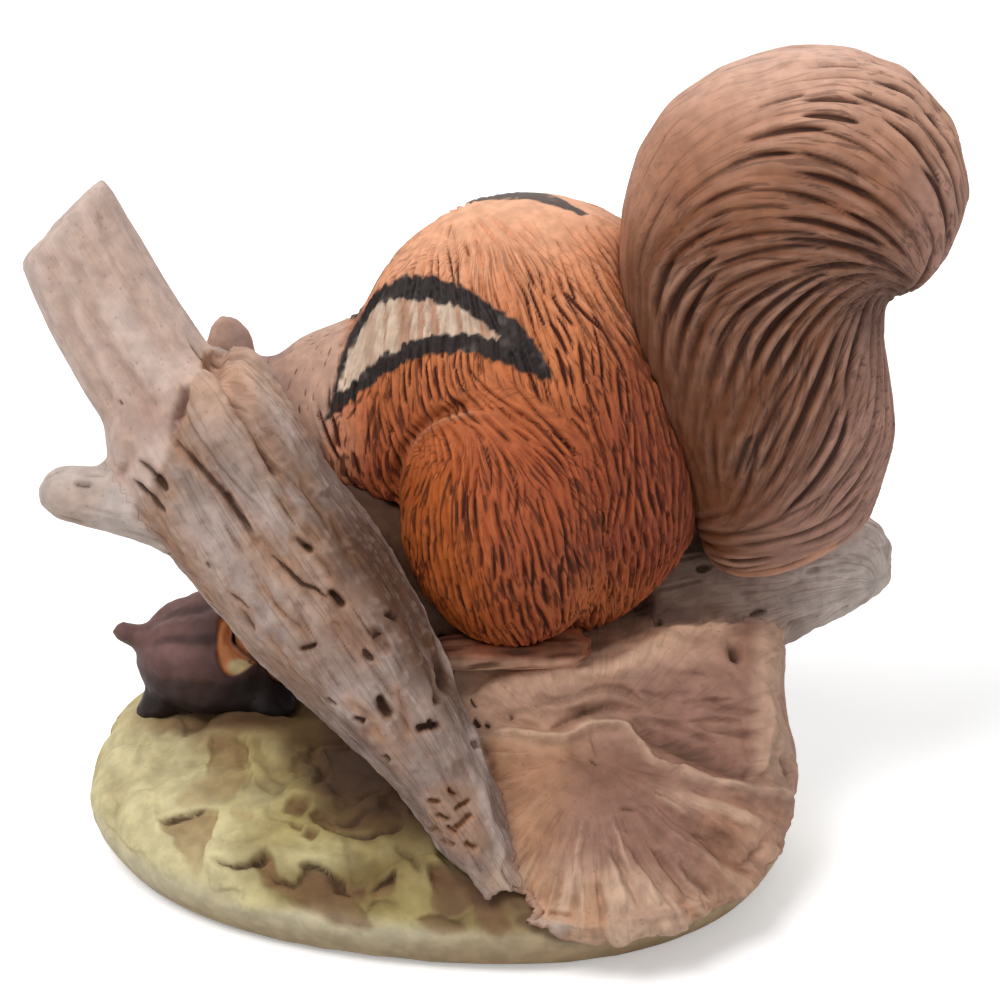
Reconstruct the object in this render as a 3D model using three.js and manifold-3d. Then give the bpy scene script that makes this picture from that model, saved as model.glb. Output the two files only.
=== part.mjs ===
// Chipmunk figurine: a bisque porcelain chipmunk crouched on driftwood, on a mossy base with a nut.
// Millimetres, +Z up. The origin is the middle of the flat underside, +Y points away from the viewer
// who sees the animal's left side and tail, and +X points to the tail's side.

import * as THREE from "three";
import Module from "manifold-3d";

const wasm = await Module();
wasm.setup();

// Seam between two castings luted together
const SEAM = 0.3;

// Mossy base
const BASE_LENGTH = 101.5;
const BASE_DEPTH = 79;
const BASE_HEIGHT = 18;
const BASE_BULGE_HEIGHT = 7.5;
const BASE_FOOT_INSET = 0.09;
const BASE_TURN = -12.5;
const BASE_SQUARENESS = 2.3;
const BASE_CENTRE_X = -8.5;
const BASE_CENTRE_Y = -2.3;
const VENT_DIAMETER = 8;
const VENT_DEPTH = 10;
const VENT_OFFSET = -8.5;
const MOSS_RISE = 1.5;

// Driftwood
const STUMP_RISE = 15.5;
const STUMP_WIDTH = 51;
const STUMP_DEPTH = 53;
const STUMP_CENTRE_X = 15.5;
const STUMP_FRONT_Y = -43.4;
const STUMP_SQUARENESS = 3.1;
const SKIRT_SQUARENESS = 1.7;
const TRUNK_LENGTH = 108;
const TRUNK_CORE_DIAMETER = 16;
const TRUNK_BARK_DIAMETER = 23;
const TRUNK_FOOT_DIAMETER = 7;
const TRUNK_FOOT_BEND = 0.9;
const TRUNK_BARK_END = 0.78;
const TRUNK_SWAY = 2.6;
const TRUNK_FLUTE_DEPTH = 1.5;
const TRUNK_LEAN_LEFT = 34.8;
const TRUNK_LEAN_BACK = 20;
const SADDLE_DIAMETER = 22;
const STUB_LENGTH = 38;
const STUB_DIAMETER = 15.5;
const TWIG_LENGTH = 28.5;
const TWIG_DIAMETER = 7;

// Chipmunk
const TORSO_HEIGHT = 59.5;
const TORSO_WIDTH = 49;
const TORSO_DEPTH = 42;
const NECK_LENGTH = 33;
const NECK_DIAMETER = 27;
const HEAD_LENGTH = 31;
const HEAD_WIDTH = 25;
const MUZZLE_DIAMETER = 10.5;
const CHEEK_DIAMETER = 13.5;
const EAR_HEIGHT = 8.6;
const EAR_WIDTH = 8;
const EAR_THICKNESS = 3;
const THIGH_LENGTH = 38;
const THIGH_WIDTH = 28.5;
const THIGH_DEPTH = 25;
const HIND_FOOT_LENGTH = 22.5;
const HIND_FOOT_WIDTH = 7.5;
const HIND_FOOT_THICKNESS = 4.5;
const FORELEG_DIAMETER = 10;
const PAW_DIAMETER = 7.5;
const TAIL_HEIGHT = 79;
const TAIL_DEPTH = 27;

// Nut and husk
const HUSK_LENGTH = 27;
const HUSK_DEPTH = 22;
const HUSK_HEIGHT = 18.5;
const STALK_LENGTH = 5;
const STALK_DIAMETER = 3.4;
const NUT_DIAMETER = 13.5;

const finish = (colour, roughness) =>
  new THREE.MeshStandardMaterial({ color: colour, roughness, metalness: 0 });

const moss = finish(0xc4bd84, 0.85);
const wood = finish(0xc2a592, 0.85);
const fur = finish(0xb4682f, 0.8);
const tailFur = finish(0x8c5a3c, 0.8);
const skinTone = finish(0xa8765a, 0.8);
const huskBrown = finish(0x4b352f, 0.8);
const nutTan = finish(0xc98a55, 0.7);

const vec = (x, y, z) => new THREE.Vector3(x, y, z);
const radians = THREE.MathUtils.degToRad;

// A closed skin over rings of points, with one tip point at each end, as a solid
function skin(rings, firstTip, lastTip) {
  const sides = rings[0].length;
  const points = [...rings.flat(), firstTip, lastTip];
  const first = points.length - 2;
  const last = points.length - 1;
  const lastRing = (rings.length - 1) * sides;
  const faces = [];
  for (let side = 0; side < sides; side += 1) {
    const next = (side + 1) % sides;
    faces.push([first, next, side]);
    for (let row = 0; row < lastRing; row += sides) {
      faces.push([row + side, row + next, row + sides + side]);
      faces.push([row + next, row + sides + next, row + sides + side]);
    }
    faces.push([last, lastRing + side, lastRing + next]);
  }
  let volume = 0;
  for (const [a, b, c] of faces) {
    volume += points[a].dot(points[b].clone().cross(points[c]));
  }
  const corners = volume > 0 ? faces : faces.map(([a, b, c]) => [a, c, b]);
  return new wasm.Manifold(
    new wasm.Mesh({
      numProp: 3,
      vertProperties: new Float32Array(points.flatMap((point) => point.toArray())),
      triVerts: new Uint32Array(corners.flat()),
    }),
  );
}

// One smooth value between the entries of a list, at a share from 0 to 1 along it
function along(values, share) {
  const place = share * (values.length - 1);
  const low = Math.min(Math.floor(place), values.length - 2);
  const rest = place - low;
  const before = values[Math.max(low - 1, 0)];
  const after = values[Math.min(low + 2, values.length - 1)];
  const start = values[low];
  const end = values[low + 1];
  const smooth =
    0.5 *
    (2 * start +
      (end - before) * rest +
      (2 * before - 5 * start + 4 * end - after) * rest ** 2 +
      (3 * start - before - 3 * end + after) * rest ** 3);
  return smooth;
}

// Point of a superellipse with unit half axes
function superPoint(angle, power) {
  const c = Math.cos(angle);
  const s = Math.sin(angle);
  return [
    Math.sign(c) * Math.abs(c) ** (2 / power),
    Math.sign(s) * Math.abs(s) ** (2 / power),
  ];
}

// A rounded limb along a curve. wide and deep list its half widths along the curve, across and
// square to it, and round gives the length of each rounded end as a share of the whole. flutes are
// lengthwise hollows: how many, how deep, and how far they twist along the limb.
function limb(
  { path, wide, deep, across, round, sides, rings, power = 2, flutes = [0, 0, 0] },
  grow = 0,
) {
  const [fluteCount, fluteDepth, fluteTwist] = flutes;
  const curve = new THREE.CatmullRomCurve3(path);
  const sections = [];
  for (let ring = 1; ring < rings; ring += 1) {
    const share = 0.5 - 0.5 * Math.cos((Math.PI * ring) / rings);
    const toStart = Math.min(share / round[0], 1);
    const toEnd = Math.min((1 - share) / round[1], 1);
    const end = Math.sqrt(1 - (1 - toStart) ** 2) * Math.sqrt(1 - (1 - toEnd) ** 2);
    const forward = curve.getTangent(share);
    const side = across.clone().addScaledVector(forward, -across.dot(forward)).normalize();
    const normal = forward.clone().cross(side);
    const centre = curve.getPoint(share);
    const halfWide = along(wide, share) * end + grow;
    const halfDeep = along(deep, share) * end + grow;
    const points = [];
    for (let step = 0; step < sides; step += 1) {
      const angle = (2 * Math.PI * step) / sides;
      const [u, v] = superPoint(angle, power);
      const hollow = fluteDepth * end * Math.cos(fluteCount * angle + fluteTwist * share);
      points.push(
        centre
          .clone()
          .addScaledVector(side, u * (halfWide - hollow))
          .addScaledVector(normal, v * (halfDeep - hollow)),
      );
    }
    sections.push(points);
  }
  const start = curve.getPoint(0).addScaledVector(curve.getTangent(0), -grow);
  const end = curve.getPoint(1).addScaledVector(curve.getTangent(1), grow);
  return skin(sections, start, end);
}

// An ellipsoid with its poles along +Z before it is turned
function egg({ centre, half, turn = [0, 0, 0], sides, rings }, grow = 0) {
  const place = new THREE.Matrix4().compose(
    centre,
    new THREE.Quaternion().setFromEuler(new THREE.Euler(...turn.map(radians))),
    vec(1, 1, 1),
  );
  const [a, b, c] = half.map((size) => size + grow);
  const sections = [];
  for (let ring = 1; ring < rings; ring += 1) {
    const polar = (Math.PI * ring) / rings;
    const points = [];
    for (let step = 0; step < sides; step += 1) {
      const angle = (2 * Math.PI * step) / sides;
      const flat = Math.sin(polar);
      points.push(
        vec(a * flat * Math.cos(angle), b * flat * Math.sin(angle), -c * Math.cos(polar)).applyMatrix4(
          place,
        ),
      );
    }
    sections.push(points);
  }
  return skin(sections, vec(0, 0, -c).applyMatrix4(place), vec(0, 0, c).applyMatrix4(place));
}

// The largest piece of a solid after its neighbours, grown by the seam, are cut away
function cutBy(solid, ...neighbours) {
  let left = solid;
  for (const neighbour of neighbours) {
    left = left.subtract(neighbour(SEAM));
  }
  const parts = left.decompose();
  return parts.reduce((largest, part) => (part.volume() > largest.volume() ? part : largest));
}

function casting(name, solid, material) {
  const { vertProperties, triVerts } = solid.getMesh();
  const geometry = new THREE.BufferGeometry();
  geometry.setAttribute("position", new THREE.BufferAttribute(vertProperties, 3));
  geometry.setIndex(new THREE.BufferAttribute(triVerts, 1));
  geometry.computeVertexNormals();
  const mesh = new THREE.Mesh(geometry, material);
  mesh.name = name;
  return mesh;
}

// Mossy base: a pebble-shaped mound with a flat foot and a blind vent hole
const baseTurn = radians(BASE_TURN);
const basePoint = (angle, share, height) => {
  const [u, v] = superPoint(angle, BASE_SQUARENESS);
  const x = (u * share * BASE_LENGTH) / 2;
  const y = (v * share * BASE_DEPTH) / 2;
  return vec(
    BASE_CENTRE_X + x * Math.cos(baseTurn) - y * Math.sin(baseTurn),
    BASE_CENTRE_Y + x * Math.sin(baseTurn) + y * Math.cos(baseTurn),
    height,
  );
};

function baseMound(grow = 0) {
  const sides = 44;
  const swell = 1 + (2 * grow) / BASE_DEPTH;
  const levels = [];
  for (const share of [0, 0.25, 0.6, 1]) {
    const inset = BASE_FOOT_INSET * (1 - share) ** 2;
    levels.push([1 - inset, share * BASE_BULGE_HEIGHT - (share === 0 ? grow : 0)]);
  }
  const crown = BASE_HEIGHT - BASE_BULGE_HEIGHT;
  for (const angle of [14, 30, 46, 60, 72, 82]) {
    const rise = Math.sin(radians(angle)) ** 0.9;
    const share = Math.cos(radians(angle)) ** 0.7;
    levels.push([share, BASE_BULGE_HEIGHT + crown * rise + grow * rise]);
  }
  const rings = levels.map(([share, height]) =>
    Array.from({ length: sides }, (_, step) =>
      basePoint((2 * Math.PI * step) / sides, share * swell, height),
    ),
  );
  return skin(rings, basePoint(0, 0, -grow), basePoint(0, 0, BASE_HEIGHT + grow));
}

// Cushions of moss on the mound and bare hollows between them: angle round the base, share of the
// way out, and half width along and across
const MOSS_CUSHIONS = [
  [100, 0.62, 10, 7],
  [135, 0.66, 9, 8],
  [163, 0.52, 8, 7],
  [62, 0.78, 9, 6],
  [208, 0.5, 9, 6],
  [238, 0.62, 8, 5],
];
const BARE_HOLLOWS = [
  [215, 0.62, 5.5, 4],
  [237, 0.9, 6.5, 4],
  [262, 0.93, 9, 3.6],
  [118, 0.84, 6, 4],
  [80, 0.5, 5, 4],
];
const moundHeight = (share) => {
  const slope = Math.acos(Math.min(share ** (1 / 0.7), 1));
  return BASE_BULGE_HEIGHT + (BASE_HEIGHT - BASE_BULGE_HEIGHT) * Math.sin(slope) ** 0.9;
};
const mossLens = ([angle, share, long, wide], rise, grow = 0) =>
  egg(
    {
      centre: basePoint(radians(angle), share, moundHeight(share) + rise),
      half: [long, wide, 2 * MOSS_RISE],
      turn: [0, 0, angle + 90],
      sides: 16,
      rings: 8,
    },
    grow,
  );

function mossyMound(grow = 0) {
  let mound = baseMound(grow);
  for (const cushion of MOSS_CUSHIONS) {
    mound = mound.add(mossLens(cushion, -MOSS_RISE, grow));
  }
  for (const hollow of BARE_HOLLOWS) {
    mound = mound.subtract(mossLens(hollow, MOSS_RISE));
  }
  return mound;
}

function ventHole() {
  const sides = 20;
  const middle = basePoint(0, 0, 0).add(vec(VENT_OFFSET, 0, 0));
  const ring = (height) =>
    Array.from({ length: sides }, (_, step) => {
      const [u, v] = superPoint((2 * Math.PI * step) / sides, 2);
      return vec(middle.x + (u * VENT_DIAMETER) / 2, middle.y + (v * VENT_DIAMETER) / 2, height);
    });
  return skin(
    [ring(-VENT_DEPTH), ring(VENT_DEPTH)],
    middle.clone().setZ(-VENT_DEPTH),
    middle.clone().setZ(VENT_DEPTH),
  );
}

// Driftwood. The seat is the top of the stump, where the animal's hind feet stand.
const SEAT_HEIGHT = BASE_HEIGHT + STUMP_RISE;
const seatMiddle = vec(STUMP_CENTRE_X, STUMP_FRONT_Y + 0.8 * STUMP_DEPTH, SEAT_HEIGHT);
const fromSeat = (across, back, up) =>
  seatMiddle.clone().add(vec(across * STUMP_WIDTH, back * STUMP_DEPTH, up));

// Trunk: leans to the left and back with a slight sway. Its core stands out of thicker bark and is
// torn off on a slant at the top.
const trunkFoot = fromSeat(-0.269, -0.679, -0.731 * SEAT_HEIGHT);
const trunkWay = vec(
  -Math.tan(radians(TRUNK_LEAN_LEFT)),
  Math.tan(radians(TRUNK_LEAN_BACK)),
  1,
).normalize();
const trunkSwayWay = vec(1, -0.6, 0.85).normalize();
const trunkTearWay = vec(-0.72, 0.1, 0.7).normalize();
const onTrunk = (share) =>
  trunkFoot
    .clone()
    .addScaledVector(trunkWay, TRUNK_LENGTH * share)
    .addScaledVector(trunkSwayWay, TRUNK_SWAY * Math.sin(2 * Math.PI * share))
    .add(vec(-TRUNK_FOOT_BEND * Math.max(1 - share, 0) ** 3, 0, 0));

function trunk(grow = 0) {
  const bark = limb(
    {
      path: [0, 0.17, 0.33, 0.5, 0.67, 0.83, 1].map((share) => onTrunk(share * TRUNK_BARK_END)),
      wide: [0.26, 0.4, 0.6, 0.88, 1, 1, 0.9].map((share) => (share * TRUNK_BARK_DIAMETER) / 2),
      deep: [0.5, 0.58, 0.76, 0.94, 1, 0.96, 0.86].map((share) => (share * TRUNK_BARK_DIAMETER) / 2),
      across: vec(1, 0, 0.3),
      round: [0.04, 0.06],
      sides: 28,
      rings: 18,
      power: 2.2,
      flutes: [5, TRUNK_FLUTE_DEPTH / 2, 2],
    },
    grow,
  );
  const core = limb(
    {
      path: [0.3, 0.6, 0.85, 1.08].map(onTrunk),
      wide: [1, 1.04, 1, 0.84].map((share) => (share * TRUNK_CORE_DIAMETER) / 2),
      deep: [0.9, 1, 0.95, 0.74].map((share) => (share * TRUNK_CORE_DIAMETER) / 2),
      across: vec(1, 0, 0.3),
      round: [0.04, 0.02],
      sides: 18,
      rings: 14,
      power: 2.4,
    },
    grow,
  ).trimByPlane(trunkTearWay.clone().negate().toArray(), -trunkTearWay.dot(onTrunk(1)) - grow);
  const foot = limb(
    {
      path: [onTrunk(-0.04), onTrunk(0.1), onTrunk(0.22)],
      wide: [1.15, 1, 0.9].map((share) => (share * TRUNK_FOOT_DIAMETER) / 2),
      deep: [1.15, 1, 0.9].map((share) => (share * TRUNK_FOOT_DIAMETER) / 2),
      across: vec(1, 0, 0.3),
      round: [0.2, 0.3],
      sides: 16,
      rings: 8,
    },
    grow,
  );
  return bark.add(core).add(foot);
}

// Root stump: a flared skirt of wood that opens towards the front and the tail's side
function stump(grow = 0) {
  const sides = 36;
  // Height as a share of the seat, left and right edges as shares of the width from the middle,
  // and front and back edges as shares of the depth from the front
  const levels = [
    [0.17, -0.36, 0.33, 0.08, 0.9],
    [0.21, -0.36, 0.4, -0.015, 0.92],
    [0.28, -0.4, 0.47, -0.035, 0.95],
    [0.39, -0.46, 0.495, 0.025, 1],
    [0.51, -0.52, 0.5, 0.14, 1.04],
    [0.63, -0.5, 0.475, 0.25, 1.08],
    [0.74, -0.5, 0.465, 0.37, 1.1],
    [0.84, -0.49, 0.468, 0.46, 1.12],
    [0.93, -0.47, 0.475, 0.53, 1.12],
    [0.99, -0.42, 0.41, 0.59, 1.08],
  ];
  const ring = ([rise, left, right, front, back]) =>
    Array.from({ length: sides }, (_, step) => {
      const angle = (2 * Math.PI * step) / sides;
      // The skirt's front corner towards the tail is rounded off, and squarer further up
      const corner = Math.min(SKIRT_SQUARENESS + 4 * Math.max(rise - 0.4, 0), STUMP_SQUARENESS);
      const [u, v] = superPoint(angle, angle > 1.5 * Math.PI ? corner : STUMP_SQUARENESS);
      const halfWide = ((right - left) * STUMP_WIDTH) / 2 + grow;
      const halfDeep = ((back - front) * STUMP_DEPTH) / 2 + grow;
      const x = STUMP_CENTRE_X + ((right + left) * STUMP_WIDTH) / 2 + u * halfWide;
      const y = STUMP_FRONT_Y + ((back + front) * STUMP_DEPTH) / 2 + v * halfDeep;
      return vec(x, y, rise * SEAT_HEIGHT + (rise > 0.9 ? grow : 0));
    });
  const centre = vec(STUMP_CENTRE_X, STUMP_FRONT_Y + 0.7 * STUMP_DEPTH, 0);
  return skin(
    levels.map(ring),
    centre.clone().setZ(0.14 * SEAT_HEIGHT - grow),
    centre.clone().setZ(SEAT_HEIGHT + grow),
  );
}

// The hollow in the upper part of the stump's front, above the ridge that runs across it
const stumpHollow = () =>
  egg({
    centre: vec(
      STUMP_CENTRE_X + 0.05 * STUMP_WIDTH,
      STUMP_FRONT_Y + 0.41 * STUMP_DEPTH,
      0.9 * SEAT_HEIGHT,
    ),
    half: [0.43 * STUMP_WIDTH, 0.19 * STUMP_DEPTH, 0.18 * SEAT_HEIGHT],
    turn: [45, 10, 0],
    sides: 20,
    rings: 10,
  });

const stumpShape = (grow = 0) => stump(grow).subtract(stumpHollow());

// Saddle limb: the low rounded limb under the animal, from the trunk to the stump
function saddle(grow = 0) {
  return limb(
    {
      path: [
        fromSeat(-0.912, -0.132, 17),
        fromSeat(-0.696, -0.075, 12),
        fromSeat(-0.422, 0, 2),
        fromSeat(-0.069, 0.075, -6),
      ],
      wide: [0.8, 1, 1.02, 0.9].map((share) => (share * SADDLE_DIAMETER) / 2),
      deep: [0.8, 1, 1.02, 0.9].map((share) => (share * SADDLE_DIAMETER) / 2),
      across: vec(0, 1, 0),
      round: [0.2, 0.2],
      sides: 18,
      rings: 14,
    },
    grow,
  );
}

// Branch stub: the broken branch that runs out under the tail
const stubRoot = fromSeat(0.069, 0.094, -2);
const stubWay = vec(0.97, 0.17, 0.2).normalize();
function branchStub(grow = 0) {
  return limb(
    {
      path: [0, 0.35, 0.7, 1].map((share) =>
        stubRoot.clone().addScaledVector(stubWay, STUB_LENGTH * share),
      ),
      wide: [1.25, 1.15, 1, 0.8].map((share) => (share * STUB_DIAMETER) / 2),
      deep: [1.95, 1.5, 1.06, 0.74].map((share) => (share * STUB_DIAMETER) / 2),
      across: vec(0, 1, 0),
      round: [0.1, 0.12],
      sides: 16,
      rings: 12,
      power: 2.3,
    },
    grow,
  );
}

// Side twig: a short broken twig on the trunk's left
function twig(grow = 0) {
  const root = onTrunk(0.565);
  const tip = root.clone().addScaledVector(vec(-0.97, -0.02, 0.17).normalize(), TWIG_LENGTH);
  return limb(
    {
      path: [root, root.clone().lerp(tip, 0.5), tip],
      wide: [2.6, 1.34, 0.9].map((share) => (share * TWIG_DIAMETER) / 2),
      deep: [1.5, 1.1, 0.8].map((share) => (share * TWIG_DIAMETER) / 2),
      across: vec(0, 0, 1),
      round: [0.1, 0.12],
      sides: 14,
      rings: 10,
    },
    grow,
  );
}

// Chipmunk. Its rump is near and to the right, and its head is far and to the left, lowered.
const torsoFoot = fromSeat(-0.078, -0.019, -1);
const torsoCrown = fromSeat(-0.316, 0.132, TORSO_HEIGHT);
const inTorso = (share) => torsoFoot.clone().lerp(torsoCrown, share);

function torso(grow = 0) {
  const barrel = limb(
    {
      path: [inTorso(0), inTorso(0.33), inTorso(0.66), inTorso(1)],
      wide: [0.76, 0.93, 1.05, 1.03].map((share) => (share * TORSO_WIDTH) / 2),
      deep: [0.72, 0.9, 1, 0.92].map((share) => (share * TORSO_DEPTH) / 2),
      across: vec(1, 0, 0),
      round: [0.36, 0.46],
      sides: 26,
      rings: 18,
    },
    grow,
  );
  const shoulder = limb(
    {
      path: [inTorso(0.6), neckPoint(0.45), neckPoint(1.25)],
      wide: [1.45, 1.16, 0.9].map((share) => (share * NECK_DIAMETER) / 2),
      deep: [1.84, 1.34, 1.1].map((share) => (share * NECK_DIAMETER) / 2),
      across: vec(0, 1, 0),
      round: [0.3, 0.25],
      sides: 22,
      rings: 14,
    },
    grow,
  );
  return barrel.add(shoulder);
}

// Head: an egg with a muzzle and full cheeks, turned down and away towards the nut
const neckWay = vec(-0.95, 0.12, -0.22).normalize();
function neckPoint(share) {
  return inTorso(0.53).addScaledVector(neckWay, NECK_LENGTH * share);
}
const headCentre = neckPoint(1).add(vec(-10, -0.3, 0));
const faceWay = vec(-0.72, 0.24, -0.65).normalize();
const headAcross = vec(0, 0, 1).cross(faceWay).normalize();
const headUp = faceWay.clone().cross(headAcross);
const onHead = (forward, side, up) =>
  headCentre
    .clone()
    .addScaledVector(faceWay, (forward * HEAD_LENGTH) / 2)
    .addScaledVector(headAcross, (side * HEAD_WIDTH) / 2)
    .addScaledVector(headUp, (up * HEAD_WIDTH) / 2);

function head(grow = 0) {
  const skull = limb(
    {
      path: [onHead(-0.8, 0, 0), onHead(-0.2, 0, 0), onHead(0.35, 0, -0.08), onHead(0.72, 0, -0.2)],
      wide: [0.9, 1.02, 0.98, 0.6].map((share) => (share * HEAD_WIDTH) / 2),
      deep: [0.9, 1, 0.86, 0.52].map((share) => (share * HEAD_WIDTH) / 2),
      across: headAcross,
      round: [0.4, 0.3],
      sides: 22,
      rings: 14,
    },
    grow,
  );
  const muzzle = limb(
    {
      path: [onHead(0.3, 0, -0.14), onHead(0.7, 0, -0.24), onHead(1.06, 0, -0.34)],
      wide: [1.25, 1.1, 0.8].map((share) => (share * MUZZLE_DIAMETER) / 2),
      deep: [1.2, 1.05, 0.75].map((share) => (share * MUZZLE_DIAMETER) / 2),
      across: headAcross,
      round: [0.3, 0.35],
      sides: 16,
      rings: 10,
    },
    grow,
  );
  const cheek = (side) =>
    egg(
      {
        centre: onHead(0.22, 0.56 * side, -0.34),
        half: [CHEEK_DIAMETER * 0.5, CHEEK_DIAMETER * 0.46, CHEEK_DIAMETER * 0.5],
        sides: 16,
        rings: 10,
      },
      grow,
    );
  return skull.add(muzzle).add(cheek(-1)).add(cheek(1));
}

// Ears: small rounded lobes on the back corners of the skull
const ear = (side) => (grow = 0) => {
  const root = onHead(-0.16, 0.6 * side, 0.56);
  const lean = headUp.clone().addScaledVector(headAcross, 0.28 * side).addScaledVector(faceWay, -0.35);
  const tip = root.clone().addScaledVector(lean.normalize(), EAR_HEIGHT);
  return limb(
    {
      path: [root, root.clone().lerp(tip, 0.5), tip],
      wide: [0.8, 1, 0.85].map((share) => (share * EAR_WIDTH) / 2),
      deep: [1.1, 0.9, 0.6].map((share) => (share * EAR_THICKNESS) / 2),
      across: headAcross.clone().addScaledVector(faceWay, -0.4 * side),
      round: [0.2, 0.5],
      sides: 14,
      rings: 9,
    },
    grow,
  );
};

// Thighs: the round haunches, one on each flank
const thigh = (centre) => (grow = 0) =>
  egg(
    {
      centre,
      half: [THIGH_WIDTH / 2, THIGH_DEPTH / 2, THIGH_LENGTH / 2],
      turn: [0, -6, 0],
      sides: 22,
      rings: 14,
    },
    grow,
  );
const thighLeft = thigh(fromSeat(-0.289, -0.208, 1.9 + THIGH_LENGTH / 2));
const thighRight = thigh(fromSeat(-0.275, 0.349, 1.5 + THIGH_LENGTH / 2));

// Hind feet: long flat feet that stand on the stump
const hindFoot = (heel, way) => (grow = 0) => {
  const toe = heel.clone().addScaledVector(way, HIND_FOOT_LENGTH);
  return limb(
    {
      path: [heel, heel.clone().lerp(toe, 0.5), toe],
      wide: [0.8, 0.9, 1].map((share) => (share * HIND_FOOT_WIDTH) / 2),
      deep: [1.1, 1, 0.8].map((share) => (share * HIND_FOOT_THICKNESS) / 2),
      across: vec(0, 1, 0),
      round: [0.15, 0.2],
      sides: 14,
      rings: 10,
    },
    grow,
  );
};
const footRise = HIND_FOOT_THICKNESS / 2 - 0.6;
const hindFootLeft = hindFoot(fromSeat(-0.061, -0.236, footRise), vec(-1, -0.1, 0).normalize());
const hindFootRight = hindFoot(fromSeat(-0.029, 0.358, footRise), vec(-1, 0.05, -0.02).normalize());

// Forelegs: bent at the elbow, each paw gripping the saddle limb or the trunk
const foreleg = (shoulder, toElbow, toPaw) => (grow = 0) => {
  const elbow = shoulder.clone().add(toElbow);
  const paw = shoulder.clone().add(toPaw);
  return limb(
    {
      path: [shoulder, elbow, paw],
      wide: [1.2, 0.9, 0.8].map((share) => (share * FORELEG_DIAMETER) / 2),
      deep: [1.2, 0.9, 0.62].map((share) => (share * FORELEG_DIAMETER) / 2),
      across: vec(1, 0, 0),
      round: [0.25, 0.15],
      sides: 14,
      rings: 12,
    },
    grow,
  ).add(
    egg(
      {
        centre: paw,
        half: [PAW_DIAMETER * 0.62, PAW_DIAMETER / 2, PAW_DIAMETER * 0.4],
        turn: [0, -20, 0],
        sides: 14,
        rings: 8,
      },
      grow,
    ),
  );
};
const forelegLeft = foreleg(
  neckPoint(0.75).add(vec(0, -6, -5)),
  vec(-9, -4.2, -1.2),
  vec(-16, -0.2, -5.2),
);
const forelegRight = foreleg(
  neckPoint(0.55).add(vec(0, 10, -8)),
  vec(-6.4, 0.6, -4.7),
  vec(-17.4, -8.4, -8.2),
);

// Tail: rises beside the rump, and its top rolls over to the right round the crease
const tailCrease = fromSeat(0.69, -0.057, 0.624 * TAIL_HEIGHT);
function tail(grow = 0) {
  const sides = 24;
  // Below the crease: height, left edge and right edge, as shares of the tail's height
  const stem = [
    [-0.505, -0.268, -0.125],
    [-0.485, -0.282, -0.08],
    [-0.45, -0.293, -0.03],
    [-0.41, -0.306, 0.006],
    [-0.335, -0.328, 0.024],
    [-0.278, -0.35, 0.034],
    [-0.222, -0.376, 0.036],
    [-0.148, -0.405, 0.022],
    [-0.074, -0.428, 0.007],
    [0, -0.438, 0.002],
  ];
  // Round the crease: angle from the left, and the reach of the outer edge
  const roll = [
    [10, 0.446],
    [20, 0.462],
    [31, 0.48],
    [42, 0.49],
    [55, 0.478],
    [68, 0.45],
    [80, 0.426],
    [94, 0.386],
    [109, 0.32],
    [124, 0.24],
    [138, 0.142],
    [152, 0.064],
  ];
  const section = (inner, outer, thickness) =>
    Array.from({ length: sides }, (_, step) => {
      const [u, v] = superPoint((2 * Math.PI * step) / sides, 2.3);
      const middle = inner.clone().lerp(outer, 0.5);
      const half = outer.clone().sub(inner).multiplyScalar(0.5);
      half.setLength(half.length() + grow);
      return middle.addScaledVector(half, u).add(vec(0, v * (thickness / 2 + grow), 0));
    });
  const place = (x, z, depth) =>
    tailCrease.clone().add(vec(x * TAIL_HEIGHT, depth, z * TAIL_HEIGHT));
  const rings = stem.map(([height, left, right], row) => {
    const depth = 4 - 0.4 * row;
    const thickness = TAIL_DEPTH * (0.5 + 0.54 * Math.sin((Math.PI * (row + 1)) / (2 * stem.length)));
    return section(place(right, height, depth), place(left, height, depth), thickness);
  });
  for (const [angle, reach] of roll) {
    const x = -Math.cos(radians(angle));
    const z = Math.sin(radians(angle));
    const thickness = TAIL_DEPTH * (1.04 - (angle / 180) ** 2.6);
    rings.push(
      section(place(0.02 * x, 0.02 * z, 0), place(reach * x, reach * z, 0), thickness),
    );
  }
  const end = place(0.032, 0.008, 0);
  return skin(rings, place(-0.2, -0.518, 4).add(vec(0, 0, -grow)), end.add(vec(grow, 0, -grow)));
}

// Nut and its split husk, lying on the base behind the trunk
const huskCentre = basePoint(radians(172), 0.65, BASE_HEIGHT - 5 + HUSK_HEIGHT / 2);
const inHusk = (x, y, z) =>
  huskCentre.clone().add(vec(x * HUSK_LENGTH, y * HUSK_DEPTH, z * HUSK_HEIGHT));
const nutCentre = inHusk(0.31, -0.12, 0.22);

const nut = (grow = 0) =>
  egg(
    {
      centre: nutCentre,
      half: [NUT_DIAMETER * 0.56, NUT_DIAMETER * 0.5, NUT_DIAMETER * 0.5],
      turn: [0, 20, 10],
      sides: 20,
      rings: 12,
    },
    grow,
  );

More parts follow.
